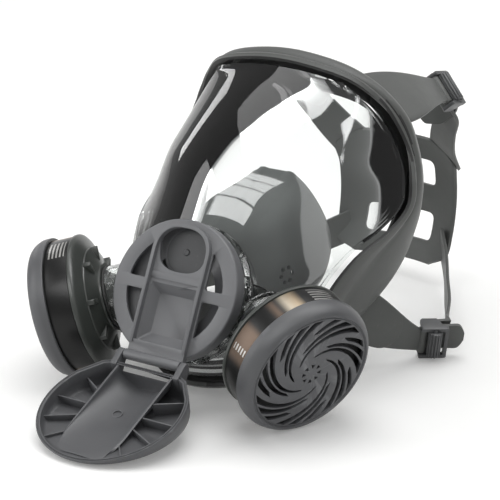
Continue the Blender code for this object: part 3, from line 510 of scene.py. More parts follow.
# %% Steel pin
def drawn_steel(name):
    made = bpy.data.materials.new(name)
    made.use_nodes = True
    nodes, links = made.node_tree.nodes, made.node_tree.links
    nodes.clear()
    out = nodes.new("ShaderNodeOutputMaterial")
    out.label, out.location = "steel", (500, 0)
    metal = nodes.new("ShaderNodeBsdfPrincipled")
    metal.label, metal.location = "drawn wire", (200, 0)
    metal.inputs["Metallic"].default_value = 1.0
    metal.inputs["Base Color"].default_value = (0.52, 0.52, 0.53, 1)
    where = nodes.new("ShaderNodeTexCoord")
    where.label, where.location = "place on the pin", (-600, 0)
    lines = nodes.new("ShaderNodeTexNoise")
    lines.label, lines.location = "drawing lines", (-380, 0)
    lines.inputs["Scale"].default_value = 900
    shine = nodes.new("ShaderNodeMapRange")
    shine.label, shine.location = "streaky polish", (-100, 0)
    shine.inputs["To Min"].default_value = 0.2
    shine.inputs["To Max"].default_value = 0.45
    links.new(where.outputs["Object"], lines.inputs["Vector"])
    links.new(lines.outputs["Fac"], shine.inputs["Value"])
    links.new(shine.outputs["Result"], metal.inputs["Roughness"])
    links.new(metal.outputs["BSDF"], out.inputs["Surface"])
    return made


steel = drawn_steel("steel")


# %% [markdown]
# ## Carried-over CAD nodes
# Seats, flaps, gaskets, felts and carbon beds are plain turned shapes inside the mask. Their CAD meshes are
# right already, so they only get a finish.

# %% Finish the inner parts
def paint(node, finish):
    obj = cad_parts[node]
    obj.data.materials.clear()
    obj.data.materials.append(finish)


INNER_FINISHES = {"exhalation_seat": shell_plastic, "exhalation_gasket": gasket_rubber,
                  "exhalation_flap": valve_rubber, "retaining_ring": shell_plastic, "hinge_pin": steel}
for hand in ("left", "right"):
    INNER_FINISHES.update({f"inhalation_seat_{hand}": shell_plastic, f"inhalation_flap_{hand}": valve_rubber,
                           f"nose_cup_flap_{hand}": valve_rubber, f"filter_pad_{hand}": felt,
                           f"carbon_bed_{hand}": carbon, f"port_gasket_{hand}": gasket_rubber})
for node, finish in INNER_FINISHES.items():
    paint(node, finish)
print("finished CAD nodes:", len(INNER_FINISHES))


# %% [markdown]
# ## Reference frames
# The CAD was drawn round a few frames: the mask's own, the exhalation port, the open lid, and one frame
# down the middle of each cartridge. Pieces are modelled in these frames and then put in place.

# %% Frames
MASK = Matrix.Translation((0, -0.0976, -0.0003))
PORT = axes((0, -0.0976, 0.0733), (1, 0, 0), (0, -0.89994, 0.43602))
LID = axes((0, -0.11984, 0.03519), (1, 0, 0), (0, 0.35021, -0.93667))
CARTRIDGES = {"left": axes((0.0891, -0.0932, 0.0419), (0.41485, 0.90989, 0), (0.87327, -0.39816, -0.28083)),
              "right": axes((-0.0891, -0.0932, 0.0419), (0.41485, -0.90989, 0),
                            (-0.87327, -0.39816, -0.28083))}
UPPER_STRAP_AT = axes((0.063, 0.1324, 0.1587), (0.0201, 0.98509, -0.17088), (0.74696, 0.09881, 0.65748))
LOWER_STRAP_AT = axes((0.1, 0.0524, 0.0140), (0.8083, 0.58876, 0), (0.54208, -0.74421, -0.39025))
FLIP = Matrix.Diagonal((-1, 1, 1, 1))


# %% Curves and sheets
def flow(points, steps, closed=False):
    """Points of a smooth curve through the given ones."""
    pts = [Vector(p) for p in points]
    count = len(pts)
    get = (lambda i: pts[i % count]) if closed else (
        lambda i: pts[i] if 0 <= i < count else
        (2 * pts[0] - pts[1] if i < 0 else 2 * pts[-1] - pts[-2]))
    out = []
    for i in range(count if closed else count - 1):
        a, b, c, d = get(i - 1), get(i), get(i + 1), get(i + 2)
        for k in range(steps):
            t = k / steps
            out.append(0.5 * (2 * b + (c - a) * t + (2 * a - 5 * b + 4 * c - d) * t ** 2
                              + (3 * b - a - 3 * c + d) * t ** 3))
    return out if closed else out + [pts[-1]]


def sheet(name, rows, ring=False):
    """A grid whose vertices are set on rows of points; a ring is sewn shut along its side."""
    rows = [list(row) + ([row[0]] if ring else []) for row in rows]
    across, along = len(rows[0]), len(rows)
    bpy.ops.object.select_all(action="DESELECT")
    bpy.ops.mesh.primitive_grid_add(x_subdivisions=across - 1, y_subdivisions=along - 1, size=1)
    obj = added(name)
    for i, vert in enumerate(obj.data.vertices):
        vert.co = rows[i // across][i % across]
    if ring:
        only(obj)
        bpy.ops.object.mode_set(mode="EDIT")
        bpy.ops.mesh.select_all(action="SELECT")
        bpy.ops.mesh.remove_doubles(threshold=0.00001)
        bpy.ops.object.mode_set(mode="OBJECT")
    return obj


def face_away(obj, centre):
    """Turn the faces of an open sheet so that most of them look away from a point."""
    votes = sum(1 if (poly.center - Vector(centre)).dot(poly.normal) > 0 else -1
                for poly in obj.data.polygons)
    if votes < 0:
        only(obj)
        bpy.ops.object.mode_set(mode="EDIT")
        bpy.ops.mesh.select_all(action="SELECT")
        bpy.ops.mesh.flip_normals()
        bpy.ops.object.mode_set(mode="OBJECT")
    return obj


def walled(obj, thickness, offset):
    """Give a sheet its wall thickness."""
    step = obj.modifiers.new("wall", "SOLIDIFY")
    step.thickness, step.offset, step.use_even_offset = thickness, offset, True
    return apply_all(obj)


def mirror_copy(obj, name):
    """The same piece for the other side of the mask."""
    twin = obj.copy()
    twin.data = obj.data.copy()
    bpy.context.scene.collection.objects.link(twin)
    twin.name = twin.data.name = name
    place(twin, FLIP)
    bpy.ops.object.mode_set(mode="EDIT")
    bpy.ops.mesh.select_all(action="SELECT")
    bpy.ops.mesh.flip_normals()
    bpy.ops.object.mode_set(mode="OBJECT")
    return twin


# %% Turned and flat pieces
def turned(name, profile, steps=96, closed=False):
    """As on a lathe: a point is extruded along the (radius, height) profile, then spun round Z."""
    bpy.ops.object.select_all(action="DESELECT")
    bpy.ops.mesh.primitive_plane_add(size=0.001)
    obj = added(name)
    bpy.ops.object.mode_set(mode="EDIT")
    bpy.ops.mesh.select_mode(type="VERT")
    bpy.ops.mesh.merge(type="CENTER")
    here = Vector((0, 0, 0))
    for i, (radius, height) in enumerate(list(profile) + ([profile[0]] if closed else [])):
        there = Vector((radius, 0, height))
        if i == 0:
            bpy.ops.transform.translate(value=there - here)
        else:
            bpy.ops.mesh.extrude_vertices_move(TRANSFORM_OT_translate={"value": there - here})
        here = there
    bpy.ops.mesh.select_all(action="SELECT")
    bpy.ops.mesh.spin(steps=steps, angle=tau, center=(0, 0, 0), axis=(0, 0, 1))
    bpy.ops.mesh.select_all(action="SELECT")
    bpy.ops.mesh.remove_doubles(threshold=0.00002)
    bpy.ops.mesh.normals_make_consistent(inside=False)
    bpy.ops.object.mode_set(mode="OBJECT")
    return obj


def plate(name, outline, low, high):
    """A flat plate: a filled circle whose rim is set on the outline, then extruded up."""
    bpy.ops.object.select_all(action="DESELECT")
    bpy.ops.mesh.primitive_circle_add(vertices=len(outline), fill_type="NGON", radius=0.01)
    obj = added(name)
    for vert, (x, y) in zip(obj.data.vertices, outline):
        vert.co = (x, y, low)
    only(obj)
    bpy.ops.object.mode_set(mode="EDIT")
    bpy.ops.mesh.select_all(action="SELECT")
    bpy.ops.mesh.extrude_region_move(TRANSFORM_OT_translate={"value": (0, 0, high - low)})
    bpy.ops.mesh.select_all(action="SELECT")
    bpy.ops.mesh.normals_make_consistent(inside=False)
    bpy.ops.object.mode_set(mode="OBJECT")
    return obj


def rod(name, radius, low, high, axis="Z", centre=(0, 0, 0), sides=48):
    """A cylinder from low to high along one axis."""
    bpy.ops.object.select_all(action="DESELECT")
    bpy.ops.mesh.primitive_cylinder_add(vertices=sides, radius=radius, depth=high - low)
    obj = added(name)
    turn = {"X": Matrix.Rotation(pi / 2, 4, "Y"), "Y": Matrix.Rotation(-pi / 2, 4, "X"),
            "Z": Matrix.Identity(4)}[axis]
    return place(obj, Matrix.Translation(centre) @ turn @ Matrix.Translation((0, 0, (low + high) / 2)))


def block(name, low, high):
    """A box between two corners."""
    low, high = Vector(low), Vector(high)
    bpy.ops.object.select_all(action="DESELECT")
    bpy.ops.mesh.primitive_cube_add(size=1)
    return place(added(name), Matrix.Translation((low + high) / 2) @ Matrix.Diagonal((*(high - low), 1)))


def arc(centre, radius, start, end, count):
    angles = [radians(start + (end - start) * i / count) for i in range(count + 1)]
    return [(centre[0] + radius * cos(a), centre[1] + radius * sin(a)) for a in angles]


def rounded_corners(outline, radius, count=4):
    """Replace each corner of an outline by a small curve."""
    out = []
    for i, here in enumerate(outline):
        here = Vector(here)
        before, after = Vector(outline[i - 1]) - here, Vector(outline[(i + 1) % len(outline)]) - here
        a = here + before.normalized() * min(radius, before.length * 0.45)
        b = here + after.normalized() * min(radius, after.length * 0.45)
        for k in range(count + 1):
            t = k / count
            out.append(tuple((1 - t) ** 2 * a + 2 * t * (1 - t) * here + t * t * b))
    return out


def dress(piece, finish, slot_name, body, *nodes):
    """Give a finished piece its material and its body, and hide the CAD nodes that it stands for."""
    piece.data.materials.clear()
    piece.data.materials.append(finish)
    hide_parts(*nodes)
    if body:
        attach(piece, body)
    print(piece.name, "faces:", len(piece.data.polygons))
    return piece


# %% [markdown]
# ## Lens
# The visor is one thin clear wall, strongly curved sideways and almost straight from top to bottom. Its
# sections are known at eleven heights, so a grid is laid over smooth curves through them, given its wall,
# and cut where the exhalation port and the two cartridges pass through.

# %% Lens wall
LENS_MIDDLE = [(0, 0.1130, 0.1890), (0, 0.0950, 0.1790), (0, 0.0770, 0.1670), (0, 0.0600, 0.1530),
               (0, 0.0450, 0.1360), (0, 0.0330, 0.1150), (0, 0.0230, 0.0930), (0, 0.0120, 0.0690),
               (0, 0.0020, 0.0490), (0, -0.0040, 0.0320), (0, 0.0060, 0.0180)]
LENS_EDGE = [(0.0470, 0.1200, 0.1810), (0.0600, 0.1320, 0.1690), (0.0700, 0.1390, 0.1540),
             (0.0780, 0.1400, 0.1380), (0.0840, 0.1340, 0.1240), (0.0866, 0.1260, 0.1095),
             (0.0840, 0.1050, 0.0990), (0.0770, 0.0760, 0.0880), (0.0690, 0.0560, 0.0680),
             (0.0620, 0.0440, 0.0420), (0.0420, 0.0340, 0.0210)]
LENS_ROUNDNESS = 1.55
LENS_THICK = 0.0022


def lens_row(middle, edge, half_count):
    """From one edge, round the front, to the other edge."""
    half = []
    for i in range(half_count + 1):
        angle = pi / 2 * i / half_count
        gone = 1 - cos(angle) ** LENS_ROUNDNESS
        half.append(Vector((edge.x * sin(angle), middle.y + (edge.y - middle.y) * gone,
                            middle.z + (edge.z - middle.z) * gone)))
    return [Vector((-p.x, p.y, p.z)) for p in reversed(half[1:])] + half


def make_lens():
    rows = [lens_row(m, e, 36) for m, e in zip(flow(LENS_MIDDLE, 5), flow(LENS_EDGE, 5))]
    lens = face_away(sheet("lens_wall", rows), (0, 0.11, 0.09))
    walled(lens, LENS_THICK, -1)
    place(lens, MASK)
    carve(lens, place(rod("front_port", 0.0385, -0.045, 0.010, sides=96), PORT))
    for hand in ("left", "right"):
        carve(lens, place(rod("side_port", 0.0166, -0.07, -0.02, sides=64), CARTRIDGES[hand]))
        carve(lens, place(rod("side_face", 0.0250, -0.0360, 0.010, sides=64), CARTRIDGES[hand]))
    smooth(lens, 30)
    return dress(lens, lens_clear, "lens", "root", "lens")


make_lens()


# %% [markdown]
# The lens carries three thick clear collars: a stepped one round the exhalation port, and a ring at each
# cartridge. They are turned, because they are round, and their short lugs are added after.

# %% Clear collars
def make_collars():
    profile = [(0.0268, -0.0115), (0.0400, -0.0115), (0.0404, -0.0125), (0.0404, -0.0165), (0.0432, -0.0175),
               (0.0436, -0.0190), (0.0412, -0.0200), (0.0406, -0.0300), (0.0378, -0.0310),
               (0.0376, -0.0150), (0.0366, -0.0140), (0.0268, -0.0140)]
    ring = turned("front_collar_ring", profile, 128, closed=True)
    lugs = []
    for turn in (20, 75, 140, 165, 215, 245, 290, 325):
        lug = block("lug", (0.0405, -0.0035, -0.0170), (0.0436, 0.0035, -0.0120))
        round_edges(lug, 0.0006)
        lugs.append(place(lug, Matrix.Rotation(radians(turn), 4, "Z")))
    collar = place(joined("front_collar", [ring] + lugs), PORT)
    smooth(collar, 30)
    dress(collar, collar_clear, "lens", "root", "lens")
    for hand in ("left", "right"):
        side = turned("side_collar", [(0.0168, -0.0362), (0.0186, -0.0362), (0.0190, -0.0372),
                                      (0.0190, -0.0470), (0.0206, -0.0480), (0.0206, -0.0490),
                                      (0.0168, -0.0490)], 96, closed=True)
        side = place(joined(f"side_collar_{hand}", [side]), CARTRIDGES[hand])
        smooth(side, 30)
        dress(side, collar_clear, "lens", "root", "lens")


make_collars()

# %% [markdown]
# ## Face seal
# The seal is a rubber skirt. Its outside has a bead that grips the lens, a shallow groove and a broad
# rounded rim; it then turns inwards to the soft lip that touches the face. Four section lines run right
# round it. Smooth curves through them make the skirt, and the bead and groove are pushed out of its
# surface.

# %% Skirt sections
SEAL_GROOVE = [(0, 0.1160, 0.1925), (0.0230, 0.1175, 0.1905), (0.0480, 0.1225, 0.1840),
               (0.0625, 0.1330, 0.1710), (0.0720, 0.1405, 0.1560), (0.0800, 0.1420, 0.1395),
               (0.0860, 0.1365, 0.1235), (0.0890, 0.1280, 0.1080), (0.0865, 0.1070, 0.0965),
               (0.0795, 0.0790, 0.0855), (0.0715, 0.0590, 0.0655), (0.0645, 0.0470, 0.0400),
               (0.0460, 0.0380, 0.0170), (0.0230, 0.0200, 0.0110), (0, 0.0110, 0.0105)]
SEAL_RIM = [(0, 0.1310, 0.1955), (0.0240, 0.1320, 0.1932), (0.0440, 0.1360, 0.1872),
            (0.0610, 0.1430, 0.1755), (0.0755, 0.1480, 0.1585), (0.0825, 0.1500, 0.1390),
            (0.0860, 0.1510, 0.1210), (0.0868, 0.1490, 0.1050), (0.0865, 0.1430, 0.0920),
            (0.0845, 0.1290, 0.0725), (0.0780, 0.1115, 0.0530), (0.0660, 0.0880, 0.0330),
            (0.0440, 0.0620, 0.0140), (0.0220, 0.0440, 0.0050), (0, 0.0380, 0.0040)]
SEAL_TURN = [(0, 0.1440, 0.1860), (0.0220, 0.1450, 0.1840), (0.0410, 0.1490, 0.1780),
             (0.0560, 0.1550, 0.1670), (0.0690, 0.1590, 0.1520), (0.0755, 0.1610, 0.1360),
             (0.0785, 0.1610, 0.1190), (0.0785, 0.1580, 0.1030), (0.0775, 0.1520, 0.0890),
             (0.0740, 0.1380, 0.0700), (0.0675, 0.1210, 0.0530), (0.0555, 0.0990, 0.0370),
             (0.0370, 0.0770, 0.0200), (0.0180, 0.0620, 0.0120), (0, 0.0560, 0.0110)]
SEAL_LIP = [(0, 0.1450, 0.1690), (0.0230, 0.1450, 0.1680), (0.0430, 0.1460, 0.1635),
            (0.0590, 0.1470, 0.1530), (0.0685, 0.1480, 0.1390), (0.0725, 0.1480, 0.1230),
            (0.0730, 0.1470, 0.1070), (0.0715, 0.1420, 0.0920), (0.0680, 0.1320, 0.0770),
            (0.0625, 0.1205, 0.0640), (0.0540, 0.1080, 0.0520), (0.0430, 0.0955, 0.0420),
            (0.0300, 0.0855, 0.0340), (0.0150, 0.0790, 0.0290), (0, 0.0770, 0.0275)]
SEAL_THICK = 0.0026


def both_sides(half):
    """A closed loop from a half that starts and ends on the middle plane."""
    points = [Vector(p) for p in half]
    return points + [Vector((-p.x, p.y, p.z)) for p in reversed(points[1:-1])]


def bead_height(share):
    """How far the outside stands proud: a bead at the lens, a groove, then the rim's swell."""
    bead = 0.0013 * exp(-((share - 0.16) / 0.09) ** 2)
    groove = -0.0009 * exp(-((share - 0.36) / 0.06) ** 2)
    swell = 0.0008 * exp(-((share - 0.68) / 0.22) ** 2)
    return bead + groove + swell


def make_skirt():
    loops = [flow(both_sides(half), 5, closed=True) for half in (SEAL_GROOVE, SEAL_RIM, SEAL_TURN, SEAL_LIP)]
    stations = len(loops[0])
    middle = sum(loops[1], Vector()) / stations
    columns = []
    for i in range(stations):
        section = flow([loop[i] for loop in loops], 14)
        around = (loops[1][(i + 1) % stations] - loops[1][i - 1]).normalized()
        column = []
        for k, point in enumerate(section):
            after = section[min(k + 1, len(section) - 1)] - section[max(k - 1, 0)]
            out = around.cross(after).normalized()
            out = out if out.dot(point - middle) > 0 else -out
            column.append(point + out * (bead_height(k / 14) if k <= 14 else 0))
        columns.append(column)
    rows = [[column[k] for column in columns] for k in range(len(columns[0]))]
    skirt = walled(face_away(sheet("skirt", rows, ring=True), middle), SEAL_THICK, 0)
    place(round_edges(skirt, 0.0008, 2, 60), MASK)
    return skirt


# %% [markdown]
# Four tabs leave the rim for the buckles. Each flares smoothly from the skirt down to the strap's width and
# ends in a bead that turns round the buckle's front bar. The lower tabs are doubled near the mask, and the
# doubling ends in a round step.

# %% Tabs
TAB_ROOTS = {"upper": (Vector((0.0445, 0.1405, 0.1835)), Vector((0.0745, 0.1520, 0.1545))),
             "lower": (Vector((0.0740, 0.1130, 0.0540)), Vector((0.0590, 0.0890, 0.0335)))}
BAR = Vector((-0.0072, 0, -0.0008))          # the buckle's front bar, in the buckle's frame
TAB_BOW = 0.004


def tab_points(level, across_steps, along_steps, stop=1.0):
    """Rows across the tab, from the skirt to the buckle's bar, and its outward direction."""
    at = UPPER_STRAP_AT if level == "upper" else LOWER_STRAP_AT
    at = MASK.inverted() @ at
    root_top, root_low = TAB_ROOTS[level]
    across = at.to_3x3() @ Vector((0, 0.0092, 0))
    if across.dot(root_top - root_low) < 0:
        across = -across
    out = at.to_3x3() @ Vector((0, 0, 1))
    end = at @ (BAR + Vector((-0.0010, 0, 0)))
    rows = []
    for i in range(along_steps + 1):
        t = stop * i / along_steps
        ease = t * t * (3 - 2 * t)
        top, low = root_top.lerp(end + across, t), root_low.lerp(end - across, t)
        middle, half = (top + low) / 2, (top - low) / 2
        half *= ((1 - ease) * (root_top - root_low).length + ease * 2 * across.length) / (2 * half.length)
        rise = out * TAB_BOW * sin(pi * t)
        rows.append([middle + half * (2 * j / across_steps - 1) + rise for j in range(across_steps + 1)])
    return rows, out


def make_tab(level):
    rows, out = tab_points(level, 10, 26)
    tab = sheet(f"tab_{level}", rows)
    tab = walled(tab, 0.0030, 0)
    bead = rod("bead", 0.0031, -0.0099, 0.0099, "Y", BAR, 32)
    at = UPPER_STRAP_AT if level == "upper" else LOWER_STRAP_AT
    place(round_edges(bead, 0.0008, 2, 60), MASK.inverted() @ at)
    pieces = [round_edges(tab, 0.0009, 2, 60), bead]
    if level == "lower":
        rows, out = tab_points(level, 10, 22, stop=0.66)
        shaped = []
        for i, row in enumerate(rows):
            t = i / (len(rows) - 1)
            squeeze = (1 - max(0, (t - 0.72) / 0.28) ** 2.6) ** 0.5 if t < 1 else 0.12
            centre = row[5]
            shaped.append([centre + (p - centre) * max(squeeze, 0.12) * 0.995 + out * 0.0014 for p in row])
        doubling = walled(sheet("doubling", shaped), 0.0026, 0)
        pieces.append(round_edges(doubling, 0.0006, 2, 50))
    return place(joined(f"tab_{level}", pieces), MASK)


def make_face_seal():
    pieces = [make_skirt()]
    skirt_faces = len(pieces[0].data.polygons)
    for level in ("upper", "lower"):
        tab = make_tab(level)
        pieces += [tab, mirror_copy(tab, f"tab_{level}_right")]
    seal = smooth(joined("face_seal_skirt", pieces), 50)
    dress(seal, seal_rubber, "seal_rubber", "root", "face_seal")
    # The skirt's inward faces take the near-black copy of the seal rubber as painted shade.
    seal.data.materials.append(painted_shade_rubber)
    inside = MASK @ Vector((0, 0.070, 0.105))
    for poly in list(seal.data.polygons)[:skirt_faces]:
        if (poly.center - inside).dot(poly.normal) < 0:
            poly.material_index = 1
    return seal


make_face_seal()

# %% [markdown]
# ## Nose cup
# The nose cup is a soft grey bowl between the exhalation tube and the face. Two fold lines run up its
# front to the bridge of the nose. It is one sheet through six loops, with the folds pressed in along its
# length.

# %% Nose cup
CUP_WAIST = [(0, 0.1190, 0.1190), (0.0140, 0.1180, 0.1175), (0.0285, 0.1020, 0.1120),
             (0.0400, 0.0920, 0.0980), (0.0440, 0.0960, 0.0780), (0.0420, 0.0920, 0.0580),
             (0.0330, 0.0830, 0.0430), (0.0180, 0.0750, 0.0350), (0, 0.0720, 0.0320)]
CUP_RIM = [(0, 0.1190, 0.1190), (0.0140, 0.1180, 0.1175), (0.0280, 0.1170, 0.1060),
           (0.0385, 0.1160, 0.0900), (0.0430, 0.1120, 0.0740), (0.0420, 0.1010, 0.0570),
           (0.0330, 0.0850, 0.0430), (0.0180, 0.0750, 0.0350), (0, 0.0720, 0.0320)]


def make_nose_cup():
    rim, waist = (flow(both_sides(half), 6, closed=True) for half in (CUP_RIM, CUP_WAIST))
    count = len(rim)
    port = MASK.inverted() @ PORT

    def ring(radius, z):
        return [port @ Vector((radius * sin(tau * i / count), radius * cos(tau * i / count), z))
                for i in range(count)]

    collar = 0.0280
    loops = [ring(collar, -0.0245), ring(collar, -0.0270), ring(collar, -0.0295), ring(0.0310, -0.0325),
             [p.lerp(q, 0.35) for p, q in zip(ring(0.0335, -0.0330), waist)],
             [p.lerp(q, 0.72) for p, q in zip(ring(0.0370, -0.0330), waist)], rim]
    columns = [flow([loop[i] for loop in loops], 5) for i in range(count)]
    rows = []
    for k in range(len(columns[0])):
        share = k / (len(columns[0]) - 1)
        row = []
        for i, column in enumerate(columns):
            turn = ((i / count + 0.5) % 1 - 0.5) * 360
            fold = 0.0022 * exp(-((abs(turn) - 17) / 3.2) ** 2) * max(0, share - 0.4) / 0.6
            row.append(column[k] + Vector((0, -0.6, 0.8)) * fold)
        rows.append(row)
    cup = walled(face_away(sheet("nose_cup", rows, ring=True), (0, 0.09, 0.08)), 0.0020, 0)
    cup = place(round_edges(cup, 0.0006, 2, 60), MASK)
    for side in (1, -1):
        at = axes((side * 0.0387, -0.0334, 0.0715), (side * 0.25318, 0.9621, 0.10127),
                  (side * 0.93777, -0.2698, 0.21864))
        for turn in range(0, 360, 60):
            spot = (0.0047 * cos(radians(turn)), 0.0047 * sin(radians(turn)), 0)
            carve(cup, place(rod("valve_hole", 0.0016, -0.008, 0.008, centre=spot, sides=20), at))
    smooth(cup, 40)
    return dress(cup, cup_rubber, "cup_rubber", "root", "nose_cup")


make_nose_cup()

# %% [markdown]
# ## Exhalation housing
# The disc in front of the mouth is one moulding: a shallow round cover with four windows, a raised chute
# that frames the exhalation flap and a small trough, and a hinge barrel at its lower edge.

# %% Housing
HINGE_BELOW = 0.0440
WINDOW_RADIUS = 0.0335


def chute_outline(half, steps=40):
    """The chute's plan: straight sides, with a broad rounded top."""
    top = []
    for i in range(steps + 1):
        a = pi * i / steps
        x = half * abs(cos(a)) ** 0.75 * (1 if a < pi / 2 else -1)
        top.append((x, 0.0225 + (half - 0.0030) * sin(a)))
    return top + [(-half, -0.0360), (half, -0.0360)]


def window_outline(side, upper):
    """One window: an upright edge by the chute, a level edge by the cross bar, and round outside."""
    near, low = 0.0210, 0.0036
    start, end = asin(low / WINDOW_RADIUS), pi / 2 - asin(near / WINDOW_RADIUS)
    rim = [(WINDOW_RADIUS * cos(start + (end - start) * i / 10),
            WINDOW_RADIUS * sin(start + (end - start) * i / 10)) for i in range(11)]
    rim = [(side * x, y if upper else -y) for x, y in [(near, low)] + rim]
    return rounded_corners(rim, 0.0013)


def make_exhalation_body():
    profile = [(0, 0), (0.0424, 0), (0.0431, -0.0006), (0.0431, -0.0090), (0.0426, -0.0095),
               (0.0262, -0.0095), (0.0262, -0.0300), (0.0238, -0.0300), (0.0238, -0.0078),
               (0.0408, -0.0078), (0.0408, -0.0020), (0, -0.0020)]
    body = turned("exhalation_housing", profile, 128)
    for side in (1, -1):
        for upper in (True, False):
            carve(body, plate("window", window_outline(side, upper), -0.005, 0.003))
    tray = block("tray", (-0.0172, -0.0350, -0.0068), (0.0172, 0.0030, -0.0005))
    join_solid(body, tray)
    floor_size, mouth = (0.0120, -0.0285, -0.0035), (0.0168, -0.0345, 0.0025)
    rows = []
    for (w, low, high), z in ((floor_size, -0.0056), (mouth, 0.0003), (mouth, 0.0030)):
        rows.append([(x, y, z) for x, y in rounded_corners([(-w, low), (w, low), (w, high), (-w, high)],
                                                           0.0016)])
    well = sheet("well", rows, ring=True)
    bpy.ops.object.mode_set(mode="EDIT")
    bpy.ops.mesh.select_all(action="SELECT")
    bpy.ops.mesh.fill_holes(sides=0)
    bpy.ops.mesh.normals_make_consistent(inside=False)
    bpy.ops.object.mode_set(mode="OBJECT")
    carve(body, well)
    mouth_points = flow([(0.0172, 0.0270, 0), (0.0158, 0.0190, 0), (0.0130, 0.0140, 0), (0.0075, 0.0112, 0),
                         (0, 0.0105, 0), (-0.0075, 0.0112, 0), (-0.0130, 0.0140, 0), (-0.0158, 0.0190, 0),
                         (-0.0172, 0.0270, 0), (-0.0150, 0.0335, 0), (-0.0090, 0.0370, 0), (0, 0.0380, 0),
                         (0.0090, 0.0370, 0), (0.0150, 0.0335, 0)], 4, closed=True)
    carve(body, plate("flap_mouth", [(p.x, p.y) for p in mouth_points], -0.0050, 0.0030))
    wall = plate("chute_wall", chute_outline(0.0200), -0.0010, 0.0034)
    carve(wall, plate("chute_inside", chute_outline(0.0178), -0.0020, 0.0050))
    join_solid(body, wall)
    bridge = plate("bridge", rounded_corners([(-0.0182, 0.0046), (0.0182, 0.0046), (0.0182, 0.0086),
                                              (-0.0182, 0.0086)], 0.0005), -0.0008, 0.0006)
    join_solid(body, bridge)
    join_solid(body, block("web", (-0.0198, -HINGE_BELOW, -0.0015), (0.0198, -0.0340, 0.0025)))
    join_solid(body, rod("barrel", 0.0032, -0.0198, 0.0198, "X", (0, -HINGE_BELOW, 0.0034), 48))
    carve(body, rod("bore", 0.0018, -0.030, 0.030, "X", (0, -HINGE_BELOW, 0.0034), 32))
    round_edges(body, 0.0004, 2, 40)
    smooth(place(body, PORT), 35)
    return dress(body, shell_plastic, "shell_plastic", "root", "exhalation_body")


make_exhalation_body()

# %% [markdown]
# ## Lid
# The speech cover hangs open on its pin. It is a teardrop tray: a round far end, a narrow hinge end, a
# double lip round its edge, a gutter down its middle and thin fins that fan out on both sides.

# %% Lid
LID_RADIUS = 0.0455


def lid_depth(y):
    return 0.0040 + 0.16 * (HINGE_BELOW + LID_RADIUS - y)


def gutter_top(y):
    return 0.0010 + 0.0038 * (y - 0.0095) / 0.0725


